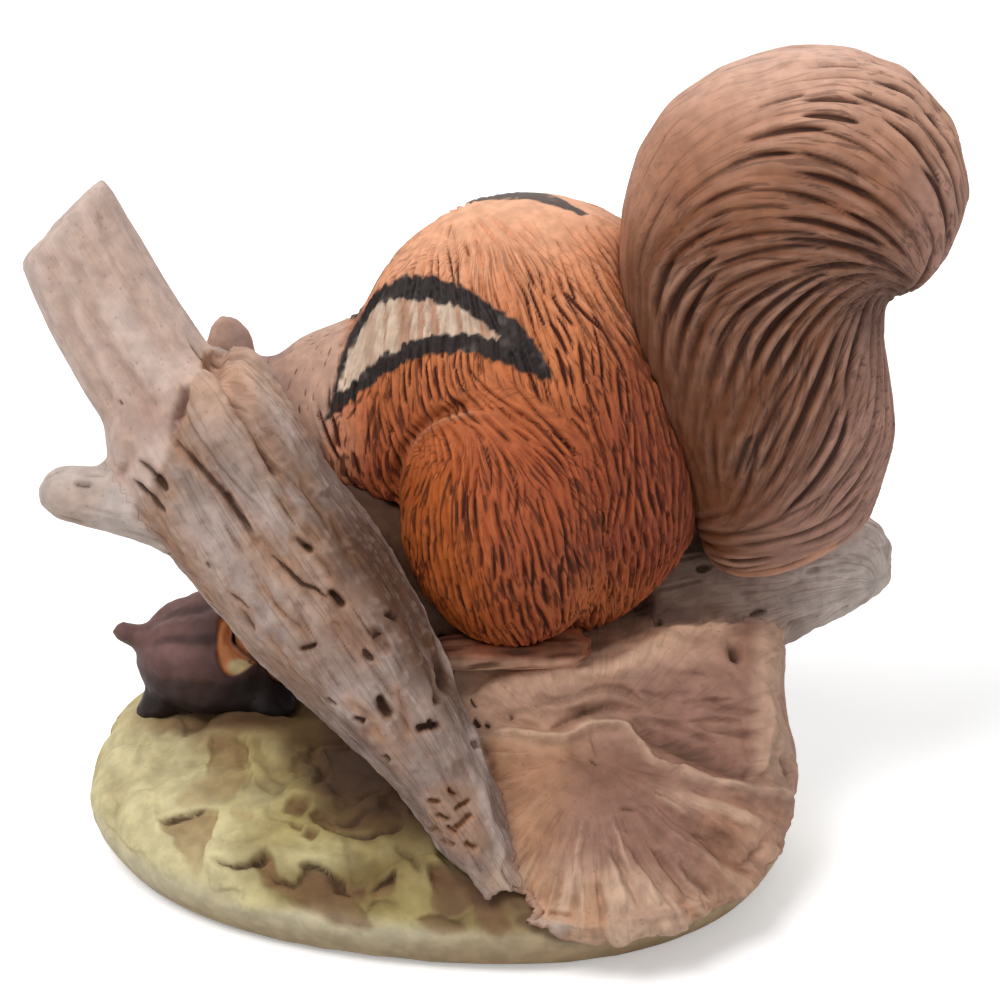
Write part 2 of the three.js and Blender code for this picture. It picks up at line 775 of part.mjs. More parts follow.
function husk(grow = 0) {
  const shell = egg(
    {
      centre: huskCentre,
      half: [HUSK_LENGTH / 2, HUSK_DEPTH / 2, HUSK_HEIGHT / 2],
      sides: 24,
      rings: 14,
    },
    grow,
  );
  const stalkRoot = inHusk(-0.44, -0.04, 0.16);
  const stalkTip = stalkRoot.clone().addScaledVector(vec(-0.93, 0, 0.36), STALK_LENGTH);
  const stalk = limb(
    {
      path: [stalkRoot, stalkRoot.clone().lerp(stalkTip, 0.5), stalkTip],
      wide: [1.3, 0.9, 1].map((share) => (share * STALK_DIAMETER) / 2),
      deep: [1.3, 0.9, 1].map((share) => (share * STALK_DIAMETER) / 2),
      across: vec(0, 1, 0),
      round: [0.2, 0.3],
      sides: 12,
      rings: 8,
    },
    grow,
  );
  const lobe = (x, y) => {
    const root = inHusk(0.55 * x, 0.55 * y, -0.18);
    const tip = inHusk(x, y, -0.5);
    return limb(
      {
        path: [root, root.clone().lerp(tip, 0.5), tip],
        wide: [0.22, 0.17, 0.05].map((share) => share * HUSK_DEPTH),
        deep: [0.14, 0.11, 0.05].map((share) => share * HUSK_DEPTH),
        across: vec(0, 1, 0),
        round: [0.2, 0.3],
        sides: 10,
        rings: 7,
      },
      grow,
    );
  };
  return shell.add(stalk).add(lobe(-0.5, -0.2)).add(lobe(0.4, -0.5)).add(lobe(0.54, 0.2));
}

// The husk has split open towards the nut's near side
const huskMouth = () =>
  egg({
    centre: inHusk(0.44, -0.42, 0.4),
    half: [0.45 * HUSK_LENGTH, 0.5 * HUSK_DEPTH, 0.22 * HUSK_HEIGHT],
    sides: 18,
    rings: 10,
  });

const figurine = new THREE.Group();
figurine.add(
  casting("mossy_base", mossyMound().subtract(ventHole()), moss),
  casting("driftwood_trunk", cutBy(trunk(), mossyMound), wood),
  casting("root_stump", cutBy(stumpShape(), mossyMound, trunk), wood),
  casting("saddle_limb", cutBy(saddle(), trunk, stump, mossyMound), wood),
  casting("side_twig", cutBy(twig(), trunk), wood),
  casting("branch_stub", cutBy(branchStub(), stump, saddle, mossyMound), wood),
  casting("tail", cutBy(tail(), branchStub, stump), tailFur),
  casting("torso", cutBy(torso(), tail, trunk, stump, saddle, branchStub), fur),
  casting("head", cutBy(head(), torso, trunk, saddle), fur),
  casting("ear_left", cutBy(ear(-1)(), head, torso, trunk), skinTone),
  casting("ear_right", cutBy(ear(1)(), head, torso, trunk), skinTone),
  casting("thigh_left", cutBy(thighLeft(), torso, tail, trunk, stump, saddle, branchStub), fur),
  casting("thigh_right", cutBy(thighRight(), torso, tail, stump, saddle, branchStub), fur),
  casting(
    "hind_foot_left",
    cutBy(hindFootLeft(), stump, trunk, saddle, torso, thighLeft, branchStub, tail),
    skinTone,
  ),
  casting(
    "hind_foot_right",
    cutBy(hindFootRight(), stump, saddle, torso, thighRight, branchStub, tail),
    skinTone,
  ),
  casting("foreleg_left", cutBy(forelegLeft(), torso, head, trunk, saddle), fur),
  casting("foreleg_right", cutBy(forelegRight(), torso, head, trunk, saddle, thighRight), fur),
  casting("nut", cutBy(nut(), mossyMound), nutTan),
  casting("nut_husk", cutBy(husk().subtract(huskMouth()), nut, mossyMound), huskBrown),
);

export default figurine;
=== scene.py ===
import itertools
import math

import bmesh
import bpy
import numpy as np
from mathutils.bvhtree import BVHTree
from mathutils.kdtree import KDTree
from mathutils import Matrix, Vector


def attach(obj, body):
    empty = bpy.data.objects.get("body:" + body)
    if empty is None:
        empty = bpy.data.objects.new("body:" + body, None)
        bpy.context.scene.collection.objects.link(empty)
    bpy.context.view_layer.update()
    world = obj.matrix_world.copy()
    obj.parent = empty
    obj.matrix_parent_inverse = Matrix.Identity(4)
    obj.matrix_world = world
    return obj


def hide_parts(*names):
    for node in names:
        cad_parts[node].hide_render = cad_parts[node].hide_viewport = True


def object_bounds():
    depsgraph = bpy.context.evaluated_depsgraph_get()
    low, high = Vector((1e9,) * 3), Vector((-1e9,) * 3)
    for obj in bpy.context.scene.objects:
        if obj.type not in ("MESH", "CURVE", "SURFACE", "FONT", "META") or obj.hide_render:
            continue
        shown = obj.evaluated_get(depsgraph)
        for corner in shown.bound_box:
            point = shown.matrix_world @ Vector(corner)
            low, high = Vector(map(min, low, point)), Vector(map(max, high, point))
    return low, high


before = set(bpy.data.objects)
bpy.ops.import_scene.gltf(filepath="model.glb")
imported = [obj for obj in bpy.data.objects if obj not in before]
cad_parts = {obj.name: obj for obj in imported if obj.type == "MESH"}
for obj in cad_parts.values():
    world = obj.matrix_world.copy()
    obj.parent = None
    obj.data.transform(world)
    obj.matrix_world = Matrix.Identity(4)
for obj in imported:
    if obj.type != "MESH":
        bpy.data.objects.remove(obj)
cad_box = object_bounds()
bpy.ops.object.select_all(action="DESELECT")

# Mossy base
# A pebble-shaped mound of bisque, cast hollow with a flat foot and a vent hole. Its torn patches of
# moss over bare earth are modelled in the mould and washed with pale yellow-green and brown. Shade is
# painted on as well: darker towards the bottom of the rim, under the moss ledges, under the husk and trunk.

SEAM = 0.3  # millimetres between two solids, which the real luted joints don't show
MOSS_GRAIN = 1.6
MOSS_PATCH = 7.5
MOSS_RISE = 0.9


def solid_tree(node):
    """A search tree over one solid's faces"""
    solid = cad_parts[node].data
    return BVHTree.FromPolygons([c.co for c in solid.vertices], [f.vertices for f in solid.polygons])


def read(items, name, width=1, kind=float):
    """A value of each item of a mesh, or a few values"""
    values = np.zeros(len(items) * width, kind)
    items.foreach_get(name, values)
    return values.reshape(-1, width) if width > 1 else values


def apply_modifier(piece, kind, **settings):
    """Adds a modifier with its settings and applies it"""
    modifier = piece.modifiers.new(kind.lower(), kind)
    for setting, value in settings.items():
        setattr(modifier, setting, value)
    bpy.ops.object.modifier_apply(modifier=modifier.name)


def blank(name, nodes, grain, passes, levels=2, swell=SEAM):
    """Copies of solids welded into one even, smooth mesh. grain is its first mesh size in millimetres."""
    bpy.ops.object.select_all(action="DESELECT")
    for node in nodes:
        copy = bpy.data.objects.new(name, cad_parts[node].data.copy())
        copy.data.materials.clear()
        bpy.context.collection.objects.link(copy)
        copy.select_set(True)
        bpy.context.view_layer.objects.active = copy
    if len(nodes) > 1:
        bpy.ops.object.join()
    piece = bpy.context.view_layer.objects.active
    piece.name = name
    bpy.ops.object.mode_set(mode="EDIT")
    bpy.ops.mesh.select_all(action="SELECT")
    bpy.ops.mesh.remove_doubles(threshold=1e-6)
    bpy.ops.transform.shrink_fatten(value=swell / 1000)
    bpy.ops.object.mode_set(mode="OBJECT")
    apply_modifier(piece, "REMESH", mode="VOXEL", voxel_size=grain / 1000)
    apply_modifier(piece, "SMOOTH", iterations=passes)
    if len(nodes) > 1:
        name_faces(piece, nodes)
    levels = levels
    apply_modifier(piece, "SUBSURF", levels=levels, render_levels=levels)
    bpy.ops.object.shade_smooth()
    return piece


def name_faces(piece, nodes):
    """Gives each face the number of the solid that it lies on, in whole patches"""
    trees = [solid_tree(node) for node in nodes]
    mesh = piece.data
    owner = np.array([
        np.argmin([tree.find_nearest(face.center)[3] for tree in trees]) for face in mesh.polygons
    ])
    loop_edge = read(mesh.loops, "edge_index", kind=int)
    loop_face = np.repeat(np.arange(len(owner)), [face.loop_total for face in mesh.polygons])
    order = np.argsort(loop_edge, kind="stable")
    shared = loop_edge[order][:-1] == loop_edge[order][1:]
    left = loop_face[order][:-1][shared]
    right = loop_face[order][1:][shared]
    for _ in range(8):
        votes = np.zeros((len(owner), len(nodes)))
        np.add.at(votes, (left, owner[right]), 1)
        np.add.at(votes, (right, owner[left]), 1)
        votes[np.arange(len(owner)), owner] += 1.5
        owner = votes.argmax(axis=1)
    near = [[] for _ in owner]
    for one, other in zip(left.tolist(), right.tolist()):
        near[one].append(other)
        near[other].append(one)
    patches = []
    patch_of = np.full(len(owner), -1)
    for start in range(len(owner)):
        if patch_of[start] >= 0:
            continue
        patch_of[start] = len(patches)
        patch = [start]
        for face in patch:
            for other in near[face]:
                if patch_of[other] < 0 and owner[other] == owner[face]:
                    patch_of[other] = len(patches)
                    patch.append(other)
        patches.append(patch)
    biggest = {}
    for patch in sorted(patches, key=len, reverse=True):
        biggest.setdefault(owner[patch[0]], patch)
    for patch in sorted(patches, key=len):
        if patch is not biggest[owner[patch[0]]]:
            beside = [other for face in patch for other in near[face] if patch_of[other] != patch_of[face]]
            around = [owner[other] for other in beside]
            if around:
                owner[patch] = max(set(around), key=around.count)
    mesh.polygons.foreach_set("material_index", owner.astype(np.int32))


def surface(piece):
    """Points in millimetres and normals of a mesh"""
    return read(piece.data.vertices, "co", 3) * 1000, read(piece.data.vertex_normals, "vector", 3)


def put(piece, points):
    """Writes points in millimetres back to a mesh, inside the figurine's own box"""
    low, high = np.array(cad_box[0]), np.array(cad_box[1])
    inside = np.clip(points / 1000, low + 1e-6, high - 1e-6)
    piece.data.vertices.foreach_set("co", inside.ravel())
    piece.data.update()


def cloud(points, size, seed=0):
    """Smooth noise from -1 to 1, with features of a size in millimetres"""
    cells = points / size + 31.7 * seed
    base = np.floor(cells).astype(np.int64)
    share = cells - base
    share = share * share * (3 - 2 * share)
    total = np.zeros(len(points))
    for corner in itertools.product((0, 1), repeat=3):
        key = base + np.array(corner)
        mixed = (key[:, 0] * 73856093) ^ (key[:, 1] * 19349663) ^ (key[:, 2] * 83492791)
        mixed = (mixed ^ (mixed >> 13)) * 1274126177
        value = ((mixed >> 9) & 0xFFFF) / 32767.5 - 1
        total += value * np.prod(np.where(corner, share, 1 - share), axis=1)
    return total


def wander(points, size, *seeds):
    """Smooth noise in several directions, one for each seed"""
    return np.stack([cloud(points, size, seed) for seed in seeds], axis=1)


def ramp(values, low, high):
    """Smooth step from 0 at low to 1 at high"""
    share = np.clip((values - low) / (high - low), 0, 1)
    return share * share * (3 - 2 * share)


def bell(values, width):
    """1 where values are 0, fading out over a width to both sides"""
    return np.exp(-((values / width) ** 2))


# The photograph's view of the figurine, in its frame of 1000 by 1000 points
VIEW_TILT = math.radians(24)
VIEW_TARGET = 51
VIEW_DISTANCE = 420
VIEW_SCALE = 3024
VIEW_AIM = np.array([0, math.cos(VIEW_TILT), -math.sin(VIEW_TILT)])
VIEW_UP = np.array([0, math.sin(VIEW_TILT), math.cos(VIEW_TILT)])
VIEW_EYE = np.array([0, 0, VIEW_TARGET]) - VIEW_DISTANCE * VIEW_AIM


def seen(points):
    """Where points are seen in the photograph's frame"""
    away = points - VIEW_EYE
    depth = away @ VIEW_AIM
    across = 500 + VIEW_SCALE * away[:, 0] / depth
    down = 500 - VIEW_SCALE * (away @ VIEW_UP) / depth
    return np.stack([across, down], axis=1)


def curve_through(knots, steps=6):
    """A smooth line through a few knots"""
    knots = np.array(knots, float)
    ends = np.vstack([knots[:1], knots, knots[-1:]])
    line = []
    for before, start, end, after in zip(ends[:-3], ends[1:-2], ends[2:-1], ends[3:]):
        for share in np.arange(steps) / steps:
            line.append(0.5 * (
                2 * start
                + (end - before) * share
                + (2 * before - 5 * start + 4 * end - after) * share**2
                + (3 * start - before - 3 * end + after) * share**3
            ))
    return np.array(line + [knots[-1]])


def line_reach(spots, line, limit=70):
    """Distance from a line in the photograph's frame up to a limit, and the share of the way along it"""
    nearest = np.full(len(spots), float(limit))
    along = np.zeros(len(spots))
    low, high = line.min(axis=0) - limit, line.max(axis=0) + limit
    near = np.flatnonzero(((spots > low) & (spots < high)).all(axis=1))
    for number, (start, end) in enumerate(zip(line[:-1], line[1:])):
        way = end - start
        share = np.clip(((spots[near] - start) @ way) / max(way @ way, 1e-9), 0, 1)
        reach = np.linalg.norm(spots[near] - start - share[:, None] * way, axis=1)
        closer = reach < nearest[near]
        nearest[near[closer]] = reach[closer]
        along[near[closer]] = (number + share[closer]) / (len(line) - 1)
    return nearest, along


def band(spots, knots, width):
    """A soft band along a smooth line in the photograph's frame, 1 in its middle"""
    reach, _ = line_reach(spots, curve_through(knots))
    return bell(reach, width)


def blot(spots, middle, size):
    """A soft round patch in the photograph's frame, 1 in its middle"""
    return np.exp(-(((spots - middle) / size) ** 2).sum(axis=1))


def patch_reach(spots, outline):
    """Distance from an outline in the photograph's frame, negative inside it"""
    ring = np.vstack([outline, outline[:1]])
    reach, _ = line_reach(spots, ring)
    inside = np.zeros(len(spots), bool)
    for start, end in zip(ring[:-1], ring[1:]):
        crosses = (start[1] > spots[:, 1]) != (end[1] > spots[:, 1])
        drop = end[1] - start[1]
        at = start[0] + (spots[:, 1] - start[1]) / (drop if drop else 1) * (end[0] - start[0])
        inside ^= crosses & (spots[:, 0] < at)
    return np.where(inside, -reach, reach)


def colour(red, green, blue):
    """A paint named by its screen values, as linear light"""
    screen = np.array([red, green, blue]) / 255
    return np.where(screen <= 0.04045, screen / 12.92, ((screen + 0.055) / 1.055) ** 2.4)


def painted(points, first, coats):
    """Coats of paint laid one after another over a first one, each a colour and the share it covers"""
    paint = np.tile(first, (len(points), 1))
    for over, share in coats:
        share = np.clip(share, 0, 1)[:, None]
        paint = paint * (1 - share) + over * share
    return paint


def keep_paint(piece, paint, cut=0, comb=0, hair=0, gloss=0):
    """Keeps on a mesh what its material reads: the painted colours, the cuts that hold the dark wash,
    the combed coordinates of the finest hairs with their strength, and the glazed spots"""
    kept = [("paint", "FLOAT_COLOR", "color", np.column_stack([paint, np.ones(len(paint))]))]
    for name, values in (("cut", cut), ("hair", hair), ("gloss", gloss)):
        kept.append((name, "FLOAT", "value", np.zeros(len(paint)) + values))
    kept.append(("comb", "FLOAT_VECTOR", "vector", np.zeros((len(paint), 3)) + comb))
    for name, kind, key, values in kept:
        layer = piece.data.attributes.new(name, kind, "POINT")
        layer.data.foreach_set(key, values.ravel())


def ramp_node(tree, source, start, end, low, high):
    """A shader's smooth step from low at start to high at end"""
    step = tree.nodes.new("ShaderNodeMapRange")
    step.interpolation_type = "SMOOTHSTEP"
    for name, value in (("From Min", start), ("From Max", end), ("To Min", low), ("To Max", high)):
        step.inputs[name].default_value = value
    tree.links.new(source, step.inputs["Value"])
    return step.outputs["Result"]


def lay_node(tree, factor, under, over):
    """A shader's layer of one colour over another"""
    layer = tree.nodes.new("ShaderNodeMix")
    layer.data_type = "RGBA"
    tree.links.new(factor, layer.inputs["Factor"])
    tree.links.new(under, layer.inputs["A"])
    layer.inputs["B"].default_value = (*over, 1)
    return layer.outputs["Result"]


def noise_node(tree, place, scale, detail, distortion=0):
    """A shader's soft noise, read at a place"""
    noise = tree.nodes.new("ShaderNodeTexNoise")
    for name, value in (("Scale", scale), ("Detail", detail), ("Distortion", distortion)):
        noise.inputs[name].default_value = value
    tree.links.new(place, noise.inputs["Vector"])
    return noise.outputs["Fac"]


def maths_node(tree, operation, *terms):
    """A shader's sum or product of sockets and numbers"""
    maths = tree.nodes.new("ShaderNodeMath")
    maths.operation = operation
    for socket, term in zip(maths.inputs, terms):
        if isinstance(term, bpy.types.NodeSocket):
            tree.links.new(term, socket)
        else:
            socket.default_value = term
    return maths.outputs["Value"]


# Sizes of the clay's own texture, as the noise's scale per metre
CLAY_SCALE = 2400
FRAY_SCALE = 1500
SPECK_SCALE = 700


def bisque(name, mottle, wash, strength=0.9, speck=0.1, tooth=0.05, roughness=0.6, hairs=0.0, fray=0.5):
    """Unglazed porcelain with fired paint. mottle is the size of its clouds of colour and tooth the
    height of its grain, in millimetres. wash is the dark colour that stays in the cuts, and hairs
    the strength of the finest brushed hairs. The wash frays along the hairs, or at random."""
    material = bpy.data.materials.new(name)
    material.use_nodes = True
    tree = material.node_tree
    shader = tree.nodes["Principled BSDF"]
    kept = {}
    for layer in ("paint", "cut", "comb", "hair", "gloss"):
        kept[layer] = tree.nodes.new("ShaderNodeAttribute")
        kept[layer].attribute_name = layer
    place = tree.nodes.new("ShaderNodeTexCoord").outputs["Object"]
    combed_place = kept["comb"].outputs["Vector"]

    mottled = ramp_node(tree, noise_node(tree, place, 1000 / mottle, 4), 0.3, 0.7, 0.86, 1.12)
    washed = tree.nodes.new("ShaderNodeVectorMath")
    washed.operation = "SCALE"
    tree.links.new(kept["paint"].outputs["Color"], washed.inputs[0])
    tree.links.new(mottled, washed.inputs["Scale"])
    look = washed.outputs["Vector"]
    relief = noise_node(tree, place, CLAY_SCALE, 3)
    if hairs:
        streaks = ramp_node(tree, noise_node(tree, combed_place, 1, 2, 0.25), 0.53, 0.62, 0, hairs)
        dark = maths_node(tree, "MULTIPLY", streaks, kept["hair"].outputs["Fac"])
        look = lay_node(tree, dark, look, wash)
        relief = maths_node(tree, "MULTIPLY_ADD", dark, -2.2, relief)

    ragged = noise_node(tree, combed_place, 1, 3) if hairs else noise_node(tree, place, FRAY_SCALE, 3)
    frayed = maths_node(tree, "MULTIPLY_ADD", ragged, fray, kept["cut"].outputs["Fac"])
    start = 0.23 + 0.5 * fray
    look = lay_node(tree, ramp_node(tree, frayed, start, start + 0.45, 0, strength), look, wash)
    specks = tree.nodes.new("ShaderNodeTexVoronoi")
    specks.inputs["Scale"].default_value = SPECK_SCALE
    tree.links.new(place, specks.inputs["Vector"])
    look = lay_node(tree, ramp_node(tree, specks.outputs["Distance"], 0.08, 0.2, speck, 0), look, wash)
    tree.links.new(look, shader.inputs["Base Color"])
    matt = ramp_node(tree, kept["gloss"].outputs["Fac"], 0, 1, roughness, 0.1)
    tree.links.new(matt, shader.inputs["Roughness"])
    shader.inputs["Specular IOR Level"].default_value = 0.16
    bump = tree.nodes.new("ShaderNodeBump")
    bump.inputs["Strength"].default_value = 0.6
    bump.inputs["Distance"].default_value = tooth / 1000
    tree.links.new(relief, bump.inputs["Height"])
    tree.links.new(bump.outputs["Normal"], shader.inputs["Normal"])
    return material


def hand_in(piece, material, slot, *nodes):
    """Dresses a finished piece and lets it stand for its solids"""
    piece.data.materials.clear()
    piece.data.materials.append(material)
    piece.data.polygons.foreach_set("material_index", np.zeros(len(piece.data.polygons), np.int32))
    piece.data.update()
    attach(piece, "root")
    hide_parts(*nodes)


def marks(spots, drawn, depth_of, facing):
    """Drawn lines, each with knots, half width, depth and wash: total depth, and the darkest mark"""
    depths = np.zeros(len(spots))
    darkest = np.zeros(len(spots))
    for knots, half, depth, wash in drawn:
        reach, along = line_reach(spots, curve_through(knots))
        taper = np.clip(4.5 * along * (1 - along), 0, 1) ** 0.7
        mark = bell(reach, half * (0.4 + 0.6 * taper)) * (0.3 + 0.7 * taper) * facing
        depths += depth * mark * depth_of
        darkest = np.maximum(darkest, wash * mark * depth_of)
    return depths, darkest


def holes(spots, drawn, facing):
    """Short round hollows, each with its ends, half width, depth and wash"""
    depths = np.zeros(len(spots))
    darkest = np.zeros(len(spots))
    for ends, half, depth, wash in drawn:
        reach, _ = line_reach(spots, np.array(ends, float))
        inside = (1 - ramp(reach, 0.1 * half, 1.05 * half)) * facing
        depths = np.maximum(depths, depth * inside)
        darkest = np.maximum(darkest, wash * inside)
    return depths, darkest


def hollows(spots, drawn, facing, soft, tilt=0.8):
    """Drawn patches, each with its outline, depth and wash. With a tilt they are deep along the upper
    edge and come up to the lower one, as under a ledge, and their wash is darkest along that edge as a
    painted shade under the ledge. With none they have a flat bottom."""
    depths = np.zeros(len(spots))
    darkest = np.zeros(len(spots))
    for outline, depth, wash in drawn:
        line = curve_through(outline + outline[:1])
        top, bottom = line[:, 1].min(), line[:, 1].max()
        fall = 1 - tilt * np.clip((spots[:, 1] - top) / (bottom - top), 0, 1)
        inside = ramp(-patch_reach(spots, line), -soft, soft) * facing
        depths = np.maximum(depths, depth * inside * fall)
        darkest = np.maximum(darkest, wash * inside * (0.35 + 0.65 * fall))
    return depths, darkest


MOSS_PALE = colour(218, 206, 158)
MOSS_GREEN = colour(180, 162, 102)
MOSS_OLIVE = colour(108, 88, 50)
EARTH_TONE_AND_SHADE = colour(144, 108, 72)
DARK_EARTH_AND_SHADE = colour(92, 66, 50)
RIM = colour(204, 192, 160)
RIM_SHADE = colour(164, 144, 114)

# Torn patches that bare the earth: outlines in the photograph's frame, depth and strength of wash.
# The wash is darkest along each patch's upper edge, a painted shade under the moss.
BARE = [
    ([(212, 738), (238, 742), (247, 766), (240, 784), (214, 800), (178, 804), (184, 788), (206, 772)],
     0.6, 0.75),
    ([(160, 820), (203, 808), (216, 816), (206, 848), (195, 880), (182, 852)], 1.0, 0.75),
    ([(252, 862), (265, 852), (282, 878), (299, 886), (303, 868), (328, 873), (348, 890),
      (357, 906), (370, 932), (336, 924), (306, 908), (276, 892)], 1.7, 1),
    ([(346, 886), (360, 884), (364, 898), (350, 898)], 1.3, 1),
    ([(371, 890), (386, 883), (397, 872), (396, 888), (385, 898), (374, 896)], 1.3, 0.95),
    ([(428, 864), (450, 868), (478, 886), (470, 906), (442, 918), (432, 892)], 1.1, 1),
    ([(476, 884), (492, 892), (512, 930), (486, 934), (472, 912)], 0.9, 1),
    ([(416, 922), (440, 914), (464, 932), (440, 940)], 0.7, 0.7),
    ([(284, 812), (292, 800), (306, 796), (309, 802), (298, 814)], 1.5, 1),
    ([(288, 824), (300, 824), (300, 831), (290, 832)], 1.0, 0.8),
    ([(301, 838), (308, 830), (317, 832), (312, 841)], 1.1, 0.85),
    ([(311, 812), (320, 808), (334, 818), (334, 830), (318, 826)], 1.3, 0.8),
    ([(294, 756), (318, 752), (326, 768), (312, 780), (296, 776)], 0.5, 0.6),
    ([(326, 745), (380, 742), (392, 780), (368, 796), (336, 786)], 0.6, 0.8),
    ([(232, 811), (250, 811), (252, 818), (236, 820)], 0.5, 0.5),
    ([(108, 776), (126, 780), (116, 800), (110, 796)], 0.3, 0.3),
    ([(336, 822), (364, 818), (392, 800), (404, 816), (392, 832), (362, 832)], 0.9, 0.7),
]
# Ledges of the moss: knots, half width in points of the frame, depth, and strength of the painted shadow
MOSS_FOLDS = [
    ([(214, 860), (234, 868), (252, 863), (265, 848)], 3.2, 1.1, 0.9),
    ([(330, 819), (352, 818), (366, 813), (393, 796)], 3.2, 0.9, 0.8),
    ([(322, 822), (346, 833), (364, 836), (392, 830), (408, 820)], 4, 1.3, 0.9),
    ([(157, 821), (178, 814), (206, 806)], 2.6, 0.9, 0.85),
    ([(252, 864), (268, 874), (282, 884), (298, 884), (303, 870)], 2.6, 0.6, 0.7),
    ([(298, 869), (320, 868), (336, 882), (352, 896)], 2.8, 0.9, 0.85),
    ([(250, 742), (243, 752), (251, 768), (242, 786)], 2.6, 0.5, 0.5),
    ([(258, 742), (262, 760), (282, 774), (300, 776)], 5, 0.7, 0.3),
    ([(318, 740), (312, 756), (322, 772), (314, 788)], 4, 0.8, 0.45),
    ([(330, 792), (352, 800), (380, 790)], 4, 0.7, 0.4),
    ([(222, 838), (246, 842), (262, 834)], 4, 0.5, 0.25),
    ([(270, 842), (300, 850), (336, 850), (368, 858)], 4, 0.6, 0.35),
    ([(366, 906), (384, 904), (398, 910)], 3.5, 0.6, 0.4),
    ([(102, 786), (110, 800), (112, 822)], 4, 0.5, 0.25),
    ([(372, 889), (386, 882), (397, 871)], 3, 1.0, 1),
    ([(399, 850), (412, 862), (422, 880)], 3.5, 0.7, 0.6),
    ([(240, 742), (238, 756), (248, 768)], 3, 0.5, 0.4),
    ([(255, 776), (270, 788), (290, 786)], 3.5, 0.4, 0.3),
    ([(320, 762), (324, 774), (312, 784)], 3, 0.4, 0.4),
]

base = blank("mossy_base_piece", ["mossy_base"], MOSS_GRAIN, 4, swell=0)
points, normals = surface(base)
spots = seen(points)
seen_x, seen_y = spots.T
foot = ramp(points[:, 2], 0.2, 2.5)
warp = wander(points, 9, 1, 2, 3)
drift = points + 3.2 * warp
ragged = spots + 4 * wander(points, 2.2, 12, 13)
ragged += 1.6 * wander(points, 0.9, 10, 11)
facing = ramp(-(normals @ VIEW_AIM), 0.0, 0.2)
drawn_side = facing * (1 - ramp(seen_x, 500, 560))
crown = ramp(points[:, 2] + 1.5 * warp[:, 0], 6.5, 9.5)
lumps = cloud(drift, MOSS_PATCH, 4) + 0.5 * cloud(drift, MOSS_PATCH / 2.2, 5)
torn = ramp(lumps, -0.06, 0.06)
second = ramp(cloud(drift * [1, 1, 1.6], MOSS_PATCH * 0.8, 6), 0.14, 0.22)
far_side = crown * (1 - drawn_side)
sunk, _ = hollows(ragged, BARE, drawn_side * foot, 2)
_, bare_earth_and_shade = hollows(ragged, BARE, drawn_side * foot, 4)
# painted shadows along the ledges of the moss
folded, ledge_shadow = marks(ragged, MOSS_FOLDS, 1, drawn_side)
swells = cloud(drift, 5.5, 14) + 0.35 * cloud(drift, 2.6, 16)
height = far_side * (MOSS_RISE * (torn - 0.5) + 0.6 * second + 0.1 * cloud(drift, 1.9, 7))
height += drawn_side * crown * (0.85 * swells + 0.5 * second) * (1 - bare_earth_and_shade)
height -= sunk + folded
height += 0.25 * cloud(points, 12, 8) * foot
under_wood = np.zeros(len(points))
for node in ("driftwood_trunk", "root_stump", "saddle_limb"):
    tree = solid_tree(node)
    reach = np.array([tree.find_nearest(point / 1000)[3] * 1000 for point in points])
    under_wood = np.maximum(under_wood, 1 - ramp(reach, 0.4, 1.6))
height = height * (1 - under_wood) - 0.7 * under_wood
points = points + normals * height[:, None] * foot[:, None]
points[:, 2] = np.maximum(points[:, 2], 0)
put(base, points)
inward = ramp(seen_x + 0.3 * (830 - seen_y), 200, 290)
green = ramp(cloud(points, 9, 9) + 0.5 * second, -0.3, 0.6)
inner = ramp(seen_x, 270, 390) * (1 - 0.7 * ramp(seen_y, 868, 905)) * (1 - ramp(seen_x, 560, 620))
shade = ramp(seen_x, 262, 330) * ramp(812 - seen_y + 0.8 * (seen_x - 300), -30, 30)
shade *= 1 - ramp(seen_y + 0.3 * (380 - seen_x), 800, 850)
husk_shade = np.exp(-(((spots - [205, 718]) / [78, 17]) ** 4).sum(axis=1))
